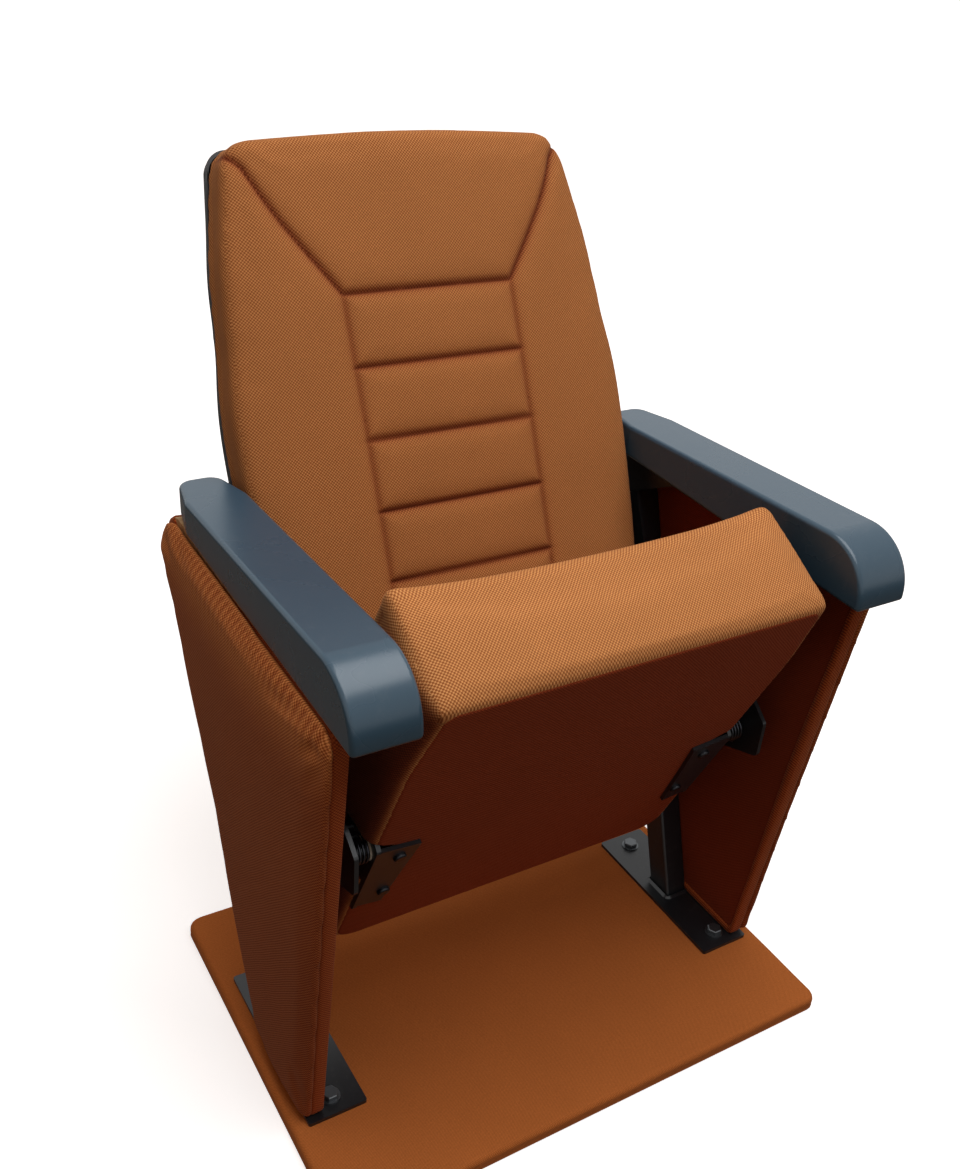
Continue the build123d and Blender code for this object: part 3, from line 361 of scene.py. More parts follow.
speck = put(grain, "ShaderNodeMapRange", {"Value": scuff.outputs["Fac"], "From Min": 0.55, "From Max": 0.8})
amount = maths(grain, "MULTIPLY", speck.outputs[0], given["Dust"])
dusted = put(
    grain, "ShaderNodeMix", {"Factor": amount, "A": given["Colour"], "B": paint(150, 150, 150)},
    data_type="RGBA",
)
wire(grain, grain_out, {
    "Color": dusted.outputs["Result"],
    "Height": fine.outputs["Fac"],
    "Roughness": maths(grain, "ADD", given["Roughness"], drift.outputs[0]),
})


def hard_finish(name, colour, roughness, grains, relief_mm, dust, **values):
    """A hard surface: the grain group on Object coordinates feeds colour, roughness and bump."""
    made, tree, shader = material(name, **values)
    where = put(tree, "ShaderNodeTexCoord")
    inputs = {
        "Vector": where.outputs["Object"], "Grains per metre": grains, "Colour": colour,
        "Roughness": roughness, "Dust": dust,
    }
    cover(tree, shader, put(tree, "ShaderNodeGroup", inputs, node_tree=grain), 0.5, relief_mm)
    return made


arm_plastic = hard_finish("slate arm plastic", paint(45, 71, 88), 0.28, 1800.0, 0.05, 0.05)
shell_plastic = hard_finish("black shell plastic", paint(24, 22, 22), 0.55, 1500.0, 0.08, 0.08)
powder_coat = hard_finish("black powder coat", paint(20, 22, 25), 0.34, 700.0, 0.08, 0.06)
black_oxide = hard_finish("black oxide", paint(30, 30, 34), 0.3, 900.0, 0.03, 0.1, Metallic=0.6)
dull_zinc = hard_finish("dull zinc plate", paint(92, 94, 96), 0.4, 500.0, 0.03, 0.15, Metallic=1.0)
spring_steel = hard_finish("spring steel", paint(60, 60, 64), 0.34, 800.0, 0.03, 0.2, Metallic=1.0)
nylon = hard_finish("natural nylon", paint(214, 210, 196), 0.5, 900.0, 0.04, 0.05)
rubber = hard_finish("rubber", paint(28, 28, 28), 0.8, 1200.0, 0.08, 0.15)
print("eight hard finishes")

# %% [markdown]
# ## Plywood
#
# The boards inside the seat, the back and the panels only show at an edge or from below.  Plywood
# is rings of grain stretched along the sheet, so a wave texture with strong distortion on a
# stretched coordinate is enough.

# %% Plywood
plywood, tree, shader = material("plywood", Roughness=0.7)
where = put(tree, "ShaderNodeTexCoord")
stretched = put(tree, "ShaderNodeMapping", {"Vector": where.outputs["Object"], "Scale": (6, 60, 6)})
rings = put(
    tree, "ShaderNodeTexWave",
    {"Vector": stretched.outputs[0], "Scale": 1.2, "Distortion": 7.0, "Detail": 4.0, "Detail Scale": 1.5},
)
timber = put(
    tree, "ShaderNodeMix",
    {"Factor": rings.outputs["Fac"], "A": paint(196, 160, 112), "B": paint(158, 118, 74)},
    data_type="RGBA",
)
bump = put(tree, "ShaderNodeBump", {"Height": rings.outputs["Fac"], "Strength": 0.3, "Distance": 0.0003})
wire(tree, shader, {"Base Color": timber.outputs["Result"], "Normal": bump.outputs["Normal"]})
print("plywood")

# %% [markdown]
# ## Finishes on the frame's own pieces
#
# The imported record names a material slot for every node.  Each slot gets its finish here, so the
# plates, tubes, bolts, springs, shell and armrests keep the exact CAD shape and gain a surface.

# %% Dress the CAD nodes
finish_of_slot = {
    "orange_fabric": orange_cloth,
    "underside_fabric": underside_cloth_with_painted_shade,
    "lining_fabric": lining_cloth_with_painted_shade,
    "base_fabric": base_cloth,
    "arm_plastic": arm_plastic,
    "shell_plastic": shell_plastic,
    "black_steel": powder_coat,
    "black_screw": black_oxide,
    "bright_steel": dull_zinc,
    "spring_steel": spring_steel,
    "plywood": plywood,
    "nylon": nylon,
    "rubber": rubber,
}
slot_of_node = {row["node"]: row["material_slot"] for row in frame["record"]["subparts"]}
for name, piece in nodes.items():
    piece.data.materials.clear()
    piece.data.materials.append(finish_of_slot[slot_of_node[name]])
print("finishes on", len(nodes), "nodes")

# %% [markdown]
# ## From numbers to a mesh
#
# Nearly every new piece is a stack of closed rings: each ring has the same number of points, each
# point is joined to its neighbour in the ring and to the same point in the next ring, and a fan
# closes the first and the last ring.  With numpy all the points and faces are worked out at once.

# %% Mesh helpers


def show(name, points, faces):
    """Puts points and faces into a mesh object at the origin, with its faces turned outwards."""
    mesh = bpy.data.meshes.new(name)
    mesh.from_pydata(np.asarray(points).tolist(), [], faces)
    tidy = bmesh.new()
    tidy.from_mesh(mesh)
    bmesh.ops.remove_doubles(tidy, verts=tidy.verts, dist=1e-6)
    bmesh.ops.recalc_face_normals(tidy, faces=tidy.faces)
    tidy.to_mesh(mesh)
    tidy.free()
    mesh.shade_smooth()
    return add_object(name, mesh)


def ring_faces(rows, columns):
    """Quads between neighbouring rings: (r, c), (r, c + 1), (r + 1, c + 1), (r + 1, c)."""
    row, column = np.meshgrid(np.arange(rows - 1), np.arange(columns), indexing="ij")
    here = row * columns + column
    beside = row * columns + (column + 1) % columns
    return np.stack([here, beside, beside + columns, here + columns], -1).reshape(-1, 4).tolist()


def stack_rings(name, rings):
    """A closed skin over rings (rows, columns, 3), with a fan to the mean point at each end."""
    rows, columns, _ = rings.shape
    points = np.vstack([rings.reshape(-1, 3), rings[0].mean(0), rings[-1].mean(0)])
    here = np.arange(columns)
    beside = (here + 1) % columns
    last = (rows - 1) * columns
    first_fan = np.stack([np.full(columns, rows * columns), beside, here], -1).tolist()
    last_fan = np.stack([np.full(columns, rows * columns + 1), last + here, last + beside], -1).tolist()
    return show(name, points, ring_faces(rows, columns) + first_fan + last_fan)


def points_of(piece):
    """The vertices of a mesh as an array (n, 3)."""
    points = np.empty(len(piece.data.vertices) * 3, np.float32)
    piece.data.vertices.foreach_get("co", points)
    return points.reshape(-1, 3).astype(float)


def move_points(piece, points):
    """Writes an array (n, 3) back to a mesh's vertices."""
    piece.data.vertices.foreach_set("co", points.astype(np.float32).ravel())
    piece.data.update()


def bake(piece):
    """Replaces a piece's mesh with what its modifiers make of it, and drops the modifiers."""
    bpy.context.view_layer.update()
    seen = piece.evaluated_get(bpy.context.evaluated_depsgraph_get())
    mesh = bpy.data.meshes.new_from_object(seen)
    piece.modifiers.clear()
    piece.data = mesh
    mesh.shade_smooth()


# %% [markdown]
# ## An outline
#
# Seen square on, each cushion is an outline with rounded corners.  A corner is replaced with an
# arc that touches both of its sides: the arc's centre lies on the bisector, at the radius divided
# by the sine of half the corner's angle.  The finished outline is resampled so that its points are
# evenly spaced, because an even mesh bends evenly.

# %% Outline helpers


def resample(path, count):
    """count points evenly spaced along a closed path (n, 2), by its running length."""
    closed = np.vstack([path, path[:1]])
    steps = np.linalg.norm(np.diff(closed, axis=0), axis=1)
    length = np.concatenate([[0], np.cumsum(steps)])
    where = np.linspace(0, length[-1], count, endpoint=False)
    return np.stack([np.interp(where, length, closed[:, k]) for k in (0, 1)], -1)


def rounded(corners, radii, count=360):
    """A closed outline through corners, each replaced with an arc tangent to both of its sides."""
    corners = np.array(corners, float)
    path = []
    for corner, before, after, radius in zip(
        corners, np.roll(corners, 1, 0), np.roll(corners, -1, 0), radii, strict=True
    ):
        to_before = (before - corner) / np.linalg.norm(before - corner)
        to_after = (after - corner) / np.linalg.norm(after - corner)
        half = np.arccos(np.clip(to_before @ to_after, -1, 1)) / 2
        bisector = (to_before + to_after) / np.linalg.norm(to_before + to_after)
        centre = corner + bisector * radius / np.sin(half)
        start = corner + to_before * radius / np.tan(half) - centre
        end = corner + to_after * radius / np.tan(half) - centre
        share = np.linspace(0, 1, 24)[:, None]
        arc = start * (1 - share) + end * share
        path.append(centre + arc / np.linalg.norm(arc, axis=1, keepdims=True) * radius)
    return resample(np.vstack(path), count)


# %% [markdown]
# ## A crowned cushion form
#
# Foam under a cover is highest in its middle and rolls over at the edge.  The form is a stack of
# shrunken copies of the outline.  They grow from the middle of the front to the rolled edge,
# follow a quarter circle over it, go down the wall, and shrink again over the flat rear that lies
# on the board.

# %% Cushion form


def cushion_form(name, axes, outline, top, base, roll, waist=0.0, inset=0.0015, lean=None, under=0.0015):
    """A closed cushion over an outline (n, 2) in x and along, which inset draws in.

    For a ring with share s the point is middle + s * (outline - middle).  On the front the height
    is top(x, along).  Round the edge, by angle a, s = 1 - roll / reach * (1 - sin a) and the height
    drops by roll * (1 - cos a).  On the wall the height falls to base + under and s dips by waist,
    which draws the sides in, or swells them where it is negative.  A last quarter circle of radius
    under turns the wall into the rear.
    """
    middle = outline.mean(0)
    reach = np.linalg.norm(outline - middle, axis=1)
    outline = middle + (outline - middle) * (1 - inset / reach)[:, None]
    roll = np.broadcast_to(roll, reach.shape)
    angle = np.linspace(0, pi / 2, 10)[:, None]
    wall = np.linspace(0, 1, 14)[1:, None]
    edge_share = 1 - roll / reach * (1 - np.sin(angle))
    front_share = np.linspace(0.03, 1, 44)[:-1, None] * edge_share[0]
    wall_share = 1 - waist / reach * np.sin(pi * wall)
    under_share = 1 - under / reach * (1 - np.cos(angle[1:]))
    rear_share = np.linspace(1, 0.03, 40)[1:, None] * under_share[-1]
    share = np.vstack([front_share, edge_share, wall_share, under_share, rear_share])
    flat = middle + (outline - middle) * share[..., None]
    front = len(front_share)
    crown = top(flat[..., 0], flat[..., 1]) - inset
    start = top(outline[:, 0], outline[:, 1]) - inset - roll
    height = np.vstack([
        crown[:front],
        crown[front : front + len(angle)] - roll * (1 - np.cos(angle)),
        start * (1 - wall) + (base + under) * wall,
        base + under * (1 - np.sin(angle[1:])) + 0 * reach,
        np.full(rear_share.shape, base),
    ])
    x, along = flat[..., 0], flat[..., 1]
    if lean is not None:
        along = along + lean(along, height)
    return stack_rings(name, to_room(axes, x, along, height))


# %% [markdown]
# ## Filling the cover
#
# Real foam pushes its cover out until the cloth is tight, and that gives the soft, slightly uneven
# roundness that no formula has. Cloth simulation does the same: the form is remeshed into even
# cells of 5.8 mm, the side that is glued to its board is held, and air pressure with no gravity
# blows the rest up for twenty steps. Moves are capped at 3 mm, because the foam can't grow, and
# one subdivision smooths the cells away.

# %% Fill a cover
CELL, CAP, PRESSURE, STEPS = 0.0058, 0.003, 4.0, 20


def blow_up(piece, held):
    """Blows a cover up by pressure; held is True for each vertex that stays on its board.

    The move of each free vertex is capped: move * cap / length where it is longer than the cap.
    """
    rest = points_of(piece)
    group = piece.vertex_groups.new(name="held")
    group.add(np.nonzero(held)[0].tolist(), 1.0, "REPLACE")
    air = piece.modifiers.new("air", "CLOTH")
    air.settings.quality = 5
    air.settings.mass = 0.3
    air.settings.use_pressure = True
    air.settings.uniform_pressure_force = PRESSURE
    air.settings.effector_weights.gravity = 0
    air.settings.vertex_group_mass = "held"
    air.settings.bending_stiffness = 0.5
    air.collision_settings.use_collision = False
    air.point_cache.frame_start, air.point_cache.frame_end = 1, STEPS
    scene = bpy.context.scene
    for number in range(1, STEPS + 1):
        scene.frame_set(number)
    bake(piece)
    move = points_of(piece) - rest
    length = np.linalg.norm(move, axis=1, keepdims=True)
    move_points(piece, rest + move * np.minimum(1, CAP / np.maximum(length, 1e-9)))
    scene.frame_set(1)
    piece.vertex_groups.clear()
    print(piece.name, "filled:", len(rest), "points, move", round(float(length.max()) * 1000, 1), "mm")


def fill(piece, axes, glued):
    """Even cells, air with every point below the height glued held, and one subdivision."""
    even = piece.modifiers.new("even cells", "REMESH")
    even.mode = "VOXEL"
    even.voxel_size = CELL
    bake(piece)
    blow_up(piece, from_room(axes, points_of(piece))[2] < glued)
    finer = piece.modifiers.new("finer", "SUBSURF")
    finer.levels = finer.render_levels = 1
    bake(piece)


# %% [markdown]
# ## Seams and creases
#
# A sewn line pulls the cover down into the foam: steep beside the thread, then fading out.  An
# exponential of the distance to the line has that shape.  Each line is a chain of points in the
# cushion's own axes.  A like number is kept as an attribute, and the cloth's colour is darkened by
# it: painted shade where light can't reach.

# %% Crease helpers


def distance_to_lines(x, along, lines):
    """Distance of each point to the nearest of several chains of straight runs in x and along.

    On a run from p to q, the nearest point is p + t (q - p), with t the clamped projection.
    """
    nearest = np.full(x.shape, np.inf)
    for line in lines:
        for p, q in zip(np.array(line[:-1], float), np.array(line[1:], float), strict=True):
            run = q - p
            t = np.clip(((x - p[0]) * run[0] + (along - p[1]) * run[1]) / (run @ run), 0, 1)
            nearest = np.minimum(nearest, np.hypot(x - p[0] - t * run[0], along - p[1] - t * run[1]))
    return nearest


def set_painted_shade(piece, values):
    """Keeps a number from 0 to 1 on each vertex: painted shade, by which the cloth material darkens its
    colour.
    """
    attributes = piece.data.attributes
    painted_shade = attributes.get("painted_shade") or attributes.new("painted_shade", "FLOAT", "POINT")
    painted_shade.data.foreach_set("value", np.clip(values, 0, 1).astype(np.float32))


def lay_cloth(piece, axes, chart):
    """Gives the piece a UV map in metres.

    chart gets x, along, height and the normal in the piece's own axes, for each face corner, and
    returns the two cloth coordinates.  Every corner of a face is charted with the face's normal.
    """
    mesh = piece.data
    corners = np.empty(len(mesh.loops), np.int32)
    mesh.loops.foreach_get("vertex_index", corners)
    sizes = np.empty(len(mesh.polygons), np.int32)
    mesh.polygons.foreach_get("loop_total", sizes)
    normals = np.empty(len(mesh.polygons) * 3, np.float32)
    mesh.polygons.foreach_get("normal", normals)
    normals = np.repeat(normals.reshape(-1, 3), sizes, axis=0)
    local = np.stack([normals @ axis for axis in axes[1:]], -1)
    x, along, height = from_room(axes, points_of(piece)[corners])
    u, v = chart(x, along, height, local)
    layer = mesh.uv_layers.new(name="cloth")
    layer.data.foreach_set("uv", np.stack([u, v], -1).astype(np.float32).ravel())


def dress(piece, finish, slot, body, *replaced):
    """Gives a piece its material and its body, and hides the CAD nodes that it stands for; slot is not used.
    """
    piece.data.materials.clear()
    piece.data.materials.append(finish)
    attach(piece, body)
    if replaced:
        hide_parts(*replaced)
    return piece


# %% [markdown]
# ## Seat cushion
#
# The seat is a thick wedge: 84 mm at the rear, 130 mm at the front, with a soft nose over which the
# cloth runs from the top down the front face.  The front face leans out towards the top, and the
# sides swell by two millimetres.  It is one form, filled, and its flat side stays on the plywood
# pan.  A seam runs down each front corner and along each side, under the top.
#
# The picture shows a wider seat than the frame's, so the finished cover is widened last.  Round the
# hinge it keeps its width, because the plates and springs need their room there.

# %% Seat cushion
SEAT_LENGTH, SEAT_HALF = 0.505, 0.220


def seat_top(x, along):
    """Thickness: 84 mm + 46 mm * s + 72 mm * s (1 - s), with s from 0 at the rear to 1 in front.

    Across, the sides lie 5 mm below the middle at the rear, and 6 mm above it at the front.
    """
    share = np.clip(along / SEAT_LENGTH, 0, 1)
    sides = -0.005 + 0.011 * smooth(share * 2 - 1)
    return 0.084 + 0.046 * share + 0.072 * share * (1 - share) + sides * (x / SEAT_HALF) ** 2


def seat_lean(along, height):
    """The front half leans out by up to 15 mm at the full height of the front face."""
    return 0.015 * smooth(along / SEAT_LENGTH * 2 - 1) * np.clip(height / 0.130, 0, 1)


seat_outline = rounded(
    [(SEAT_HALF, 0), (SEAT_HALF, SEAT_LENGTH), (-SEAT_HALF, SEAT_LENGTH), (-SEAT_HALF, 0)],
    [0.024, 0.009, 0.009, 0.024],
)
nose = smooth((seat_outline[:, 1] - SEAT_LENGTH + 0.03) / 0.02)
seat_roll = 0.009 + 0.014 * nose * (1 - np.abs(seat_outline[:, 0] / SEAT_HALF) ** 6)
cushion = cushion_form(
    "seat_cushion_cover", seat_axes, seat_outline, seat_top, 0.0005, seat_roll, waist=-0.002, lean=seat_lean,
    under=0.012,
)
fill(cushion, seat_axes, 0.004)


# %% Seat cushion: seams and cloth
def crease_seat(piece):
    """A seam down each front corner and 16 mm under the top of each side.

    It is pulled in by 2 mm * exp(-distance / 3.5 mm), slantwise at the corners.  Along the seams the
    cloth's colour gets painted shade: 0.64 * exp(-distance / 2.2 mm).
    """
    points = points_of(piece)
    x, along, height = from_room(seat_axes, points)
    corner = np.hypot(np.abs(x) - SEAT_HALF, along - SEAT_LENGTH - seat_lean(along, height))
    corner = np.hypot(corner, np.maximum(height - 0.108, 0))
    side_line = np.where(np.abs(x) > SEAT_HALF - 0.02, np.abs(height - seat_top(x, along) + 0.016), 1.0)
    side_line = np.where(along < SEAT_LENGTH - 0.012, side_line, 1.0)
    near = np.minimum(corner, side_line + 0.0015)
    pull = np.exp(-near / 0.0035)
    inwards = np.stack([np.sign(x) * 0.75, np.where(corner < side_line, 0.66, 0.0), 0 * x], -1)
    shift = -0.0020 * pull[:, None] * inwards
    move_points(piece, points + shift @ np.stack(seat_axes[1:]))
    # painted shade along the seams: the cloth's colour is darkened there
    set_painted_shade(piece, 0.64 * np.exp(-near / 0.0022))


def seat_chart(x, along, height, normal):
    """Top and front share one cloth, which turns over the nose by arc length; the sides have their own.

    With the nose's centre at a0 = length - r and h0 = thickness - r, and the angle a past it, v is
    min(along, a0) + r * a - min(height - h0, 0), where a = atan2(along - a0, height - h0).
    """
    radius = 0.02
    past = along - (SEAT_LENGTH - radius)
    above = height - (seat_top(x, SEAT_LENGTH) - radius)
    angle = np.clip(np.arctan2(np.maximum(past, 0), np.maximum(above, 0) + 1e-6), 0, pi / 2)
    v = SEAT_LENGTH - radius + np.minimum(past, 0) + radius * angle - np.minimum(above, 0) * (past > 0)
    side = np.abs(normal[:, 0]) > 0.72
    return np.where(side, along, x), np.where(side, height, v)


def widen(piece):
    """The seat fills the room between the armrests: x grows by bulge * x / half width.

    The bulge is 25 mm at the sides and 11 mm at the front edge.  Round the hinge it falls to
    nothing inside a circle of 35 mm, struck from a point between the pivot and the stop pin.
    """
    points = points_of(piece)
    x, along, height = from_room(seat_axes, points)
    bulge = 0.025 - 0.014 * smooth((along - 0.38) / 0.125)
    from_hinge = np.hypot(along - 0.214, height - 0.022)
    bulge *= smooth((from_hinge - 0.035) / 0.013)
    points[:, 0] += bulge * x / SEAT_HALF
    move_points(piece, points)


def shade_sides(piece):
    """Painted shade: low on its sides the cloth lies deep in the gap beside the leg: 0.95, fading over 45
    mm.
    """
    x, along, height = from_room(seat_axes, points_of(piece))
    seam = np.empty(len(x), np.float32)
    piece.data.attributes["painted_shade"].data.foreach_get("value", seam)
    side = smooth((np.abs(x) / SEAT_HALF - 0.95) / 0.045) * smooth((SEAT_LENGTH - along) / 0.03)
    deep = smooth((seat_top(x, along) - height - 0.01) / 0.045)
    # the cloth's colour here gets painted shade, on top of the seams' painted shade
    set_painted_shade(piece, np.maximum(seam, 0.95 * side * deep))


crease_seat(cushion)
shade_sides(cushion)
widen(cushion)
lay_cloth(cushion, seat_axes, seat_chart)
dress(cushion, orange_cloth, "orange_fabric", "seat", "seat_cushion")

# %% [markdown]
# ## Underside of the seat
#
# Below the seat a thin board is wrapped in a darker cloth, whose colour is painted darker still
# with the shade under the seat, and pressed into the cushion's lower edge, a little inside it.  It
# is a low pillow: nearly flat, with a rolled rim, and it is widened with the cushion.

# %% Underside cover
under_half, under_front = SEAT_HALF - 0.0085, SEAT_LENGTH - 0.0085
under_outline = rounded(
    [(under_half, 0.004), (under_half, under_front), (-under_half, under_front), (-under_half, 0.004)],
    [0.026, 0.012, 0.012, 0.026],
)
under_axes = (seat_axes[0] + 0.003 * seat_out, ACROSS, seat_up, -seat_out)
underside = cushion_form(
    "seat_underside", under_axes, under_outline, lambda x, along: 0.0030 + 0 * x, -0.006, 0.006, inset=0.0
)


def flat_chart(across, along, height, normal):
    """One flat cloth: u = across, v = along."""
    return across, along


widen(underside)
lay_cloth(underside, under_axes, flat_chart)
dress(underside, underside_cloth_with_painted_shade, "underside_fabric", "seat", "seat_bottom_cover")
print("underside", len(underside.data.polygons), "faces")

# %% [markdown]
# ## Back cushion
#
# The back is a tall pad, widest at the waist and narrower at the top, with a slightly arched top
# edge.  Its front is crowned both ways.  A middle panel is sewn off with five cross channels and
# an upright channel at each side, and from the top channel two seams slant out to the upper
# corners and over them.

# %% Back cushion
BACK_LOW, BACK_HIGH, PAD_DEPTH = -0.402, 0.172, 0.046


def back_half(along):
    """Half width: a parabola through 239, 249 and 247 mm up to the shoulder, then straight to 210."""
    t = (along + 0.212) / 0.190
    low = 0.249 + 0.004 * t - 0.006 * t**2
    return np.where(along < -0.022, low, 0.247 - 0.037 * (along + 0.022) / 0.187)


CORNER = 0.026
along = np.linspace(BACK_LOW, BACK_HIGH, 240)
to_end = np.minimum(along - BACK_LOW, BACK_HIGH - along)
cut = CORNER - np.sqrt(CORNER**2 - np.clip(CORNER - to_end, 0, CORNER) ** 2)
right_edge = np.stack([back_half(along) - cut, along], -1)
back_outline = resample(np.vstack([right_edge, (right_edge * [-1, 1])[::-1]]), 400)
back_outline[:, 1] -= 0.007 * smooth((back_outline[:, 1] - 0.12) / 0.04) * (back_outline[:, 0] / 0.210) ** 2


def back_top(x, along):
    """Front of the pad above its board: 46 mm, plus a crown that fades to the ends and the sides."""
    share = (along - (BACK_LOW + BACK_HIGH) / 2) / 0.29
    return PAD_DEPTH + 0.011 - 0.005 * share**2 - 0.009 * (x / 0.25) ** 2


pad_axes = (back_axes[0] - PAD_DEPTH * back_out, *back_axes[1:])
back = cushion_form(
    "back_cushion_cover", pad_axes, back_outline, back_top, 0.0004, 0.016, inset=-0.0025, under=0.004
)
fill(back, pad_axes, 0.006)

# %% [markdown]
# ### Channels of the back
#
# After the filling, the channels are pressed in.  Between two channels the foam stands a little
# proud, so the pull is deep and narrow at the thread with a wider, shallower dip around it.  At
# the shoulder the real back is a little narrower than the frame's, so the cover is drawn in there.

# %% Back cushion: channels and cloth
HALF_PANEL, ROW_SPACING = 0.106, 0.079
rows = [[(-HALF_PANEL, -row * ROW_SPACING), (HALF_PANEL, -row * ROW_SPACING)] for row in range(5)]
uprights = [[(side * HALF_PANEL, BACK_LOW - 0.01), (side * HALF_PANEL, 0.0)] for side in (-1, 1)]
slant = [(HALF_PANEL, 0.0), (0.137, 0.044), (0.160, 0.078), (0.180, 0.112), (0.193, 0.136), (0.212, 0.156)]
slants = [[(side * x, along) for x, along in slant] for side in (-1, 1)]


def crease_back(piece):
    """Depth = 5 mm * exp(-d / 3 mm) + 2 mm * exp(-(d / 14 mm)^2), d the distance to the nearest seam.

    The upright seams are pulled in less, to 0.6 of the sharp part.  Along the seams the cloth's
    colour gets painted shade: 0.8 * exp(-d / 2.4 mm), and 0.55 of that at the upright seams.
    """
    points = points_of(piece)
    x, along, height = from_room(pad_axes, points)
    across = distance_to_lines(x, along, rows + slants)
    upright = distance_to_lines(x, along, uprights)
    facing = smooth((height - 0.004) / 0.03)
    sharp = np.maximum(np.exp(-across / 0.0030), 0.6 * np.exp(-upright / 0.0030))
    broad = np.exp(-((np.minimum(across, upright) / 0.014) ** 2))
    depth = (0.0050 * sharp + 0.0020 * broad) * facing
    shift = np.stack([0 * x, 0 * x, -depth], -1)
    move_points(piece, points + shift @ np.stack(pad_axes[1:]))
    # painted shade along the seams, darkening the cloth's colour
    painted_seam_shade = np.maximum(np.exp(-across / 0.0024), 0.55 * np.exp(-upright / 0.0024))
    set_painted_shade(piece, 0.8 * facing * painted_seam_shade)


def back_chart(x, along, height, normal):
    """Front and ends share one cloth; the sides continue it round the edge."""
    side = np.abs(normal[:, 0]) > 0.72
    over_end = np.where(np.abs(normal[:, 1]) > 0.72, np.sign(normal[:, 1]) * (0.05 - height), 0.0)
    return np.where(side, np.sign(x) * (0.29 - height), x), along + over_end


def draw_in(piece, draft=0.0):
    """Near the sides, x moves in by 9 mm * exp(-((along + 26 mm) / 62 mm)^2) + 3 mm above the panel.

    Towards the top a draft is added behind the rim: it grows with the depth, up to draft.
    """
    points = points_of(piece)
    x, along, height = from_room(pad_axes, points)
    top = smooth(along / 0.10)
    move = 0.009 * np.exp(-(((along + 0.026) / 0.062) ** 2)) + 0.003 * top
    move += draft * top * smooth(-height / 0.034)
    points[:, 0] -= np.sign(x) * move * smooth((np.abs(x) - 0.17) / 0.035)
    move_points(piece, points)


crease_back(back)
draw_in(back)
lay_cloth(back, pad_axes, back_chart)
dress(back, back_cloth_with_painted_shade, "orange_fabric", "stand", "back_cushion")

# %% [markdown]
# ### Shell behind the back
#
# The moulded shell follows the cushion's sides, so it is drawn in with them.  The frame's own mesh
# may not move, so a copy stands for it: its loose triangles are merged, its long edges are divided
# so that they can bend, and towards the top its side walls get a draft, as a piece that leaves a
# mould needs.

# %% Back shell
LONGEST_EDGE = 0.016
shell = add_object("back_shell_moulding", nodes["back_shell"].data.copy())
loose = bmesh.new()
loose.from_mesh(shell.data)
bmesh.ops.remove_doubles(loose, verts=loose.verts, dist=1e-6)
for _ in range(4):
    long_edges = [edge for edge in loose.edges if edge.calc_length() > LONGEST_EDGE]
    bmesh.ops.subdivide_edges(loose, edges=long_edges, cuts=1)
    bmesh.ops.triangulate(loose, faces=loose.faces)
loose.to_mesh(shell.data)
loose.free()
shell.data.shade_smooth()
shell.data.set_sharp_from_angle(angle=radians(30))
draw_in(shell, draft=0.006)
dress(shell, shell_plastic, "shell_plastic", "stand", "back_shell")
print("shell", len(shell.data.polygons), "faces")

# %% [markdown]
# ## Side pads
#
# Outside each leg a padded panel runs from the foot plate up to the armrest.  It is a thin cushion
# on a board: the cloth is drawn tight over the front and rear edges and is full in its middle.
# Under the armrest the cloth is tucked in and puckers a little.  Its colour gets painted light and
# shade: it is lightest just under the armrest, where the room's light falls, darker in the gathers,
# and darker down to the foot.  The right pad is made once, and the left is its mirror image, x to
# -x, with its faces turned round again.

# %% Side pads
PAD_X = 0.314
PANEL_LOW, PANEL_FRONT, PANEL_REAR = 0.0245, 0.5997, 0.6127
side_axes = (np.array([PAD_X, 0.0, 0.0]), np.array([0.0, 1.0, 0.0]), np.array([0.0, 0.0, 1.0]), ACROSS)
panel_corners = [(-0.118, PANEL_LOW), (0.028, PANEL_LOW), (0.2967, PANEL_REAR), (-0.178, PANEL_FRONT)]
panel_outline = rounded(panel_corners, [0.009, 0.009, 0.044, 0.022])


def side_top(y, z):
    """15.5 mm thick at the front and rear edges and 19.5 mm between them, by a parabola."""
    front = -0.118 - 0.060 * (z - PANEL_LOW) / 0.575
    rear = 0.028 + 0.265 * (z - PANEL_LOW) / 0.588
    share = np.clip((y - front) / (rear - front), 0, 1)
    return 0.0155 + 0.016 * share * (1 - share)


right_pad = cushion_form("side_pad_cover_right", side_axes, panel_outline, side_top, 0.0004, 0.010)
fill(right_pad, side_axes, 0.004)


# %% Side pads: puckers, cloth and the mirrored pad
def pucker(piece):
    """Near the armrest the cloth dips in small gathers: 1.6 mm * sin^2 * exp(-depth / 22 mm).

    Everywhere it is slack by up to 1.6 mm.  The painted shade rises by 0.36 in the first 100 mm
    below the armrest, and by 0.12 more down to the foot; in the gathers it rises to 0.44.
    """
    points = points_of(piece)
    y, z, height = from_room(side_axes, points)
    top_line = PANEL_FRONT + 0.0130 * (y + 0.178) / 0.471
    near = np.exp(-np.clip(top_line - z, 0, None) / 0.022)
    gather = np.sin(y * 2 * pi / 0.021 + 2.0 * np.sin(y * 31)) ** 2
    slack = np.sin(y * 17 + z * 9) * np.sin(z * 13 + 1.0)
    out = smooth((height - 0.004) / 0.008)
    shift = -(0.0016 * near * gather + 0.0008 * (slack + 1)) * out
    points[:, 0] += shift
    move_points(piece, points)
    # painted shade: darker down from the armrest to the foot, and in the gathers
    from_top = (top_line - z) / 0.57
    shade = 0.36 * smooth((from_top - 0.01) / 0.17) + 0.12 * smooth(from_top)
    set_painted_shade(piece, np.maximum(0.44 * near * gather * out, shade))


def side_chart(y, z, height, normal):
    """Outer face: u = y, v = z.  On the front and rear edges u carries on round the edge."""
    edge = np.abs(normal[:, 0]) > 0.72
    return np.where(edge, np.sign(normal[:, 0]) * (0.3 - height), y), z


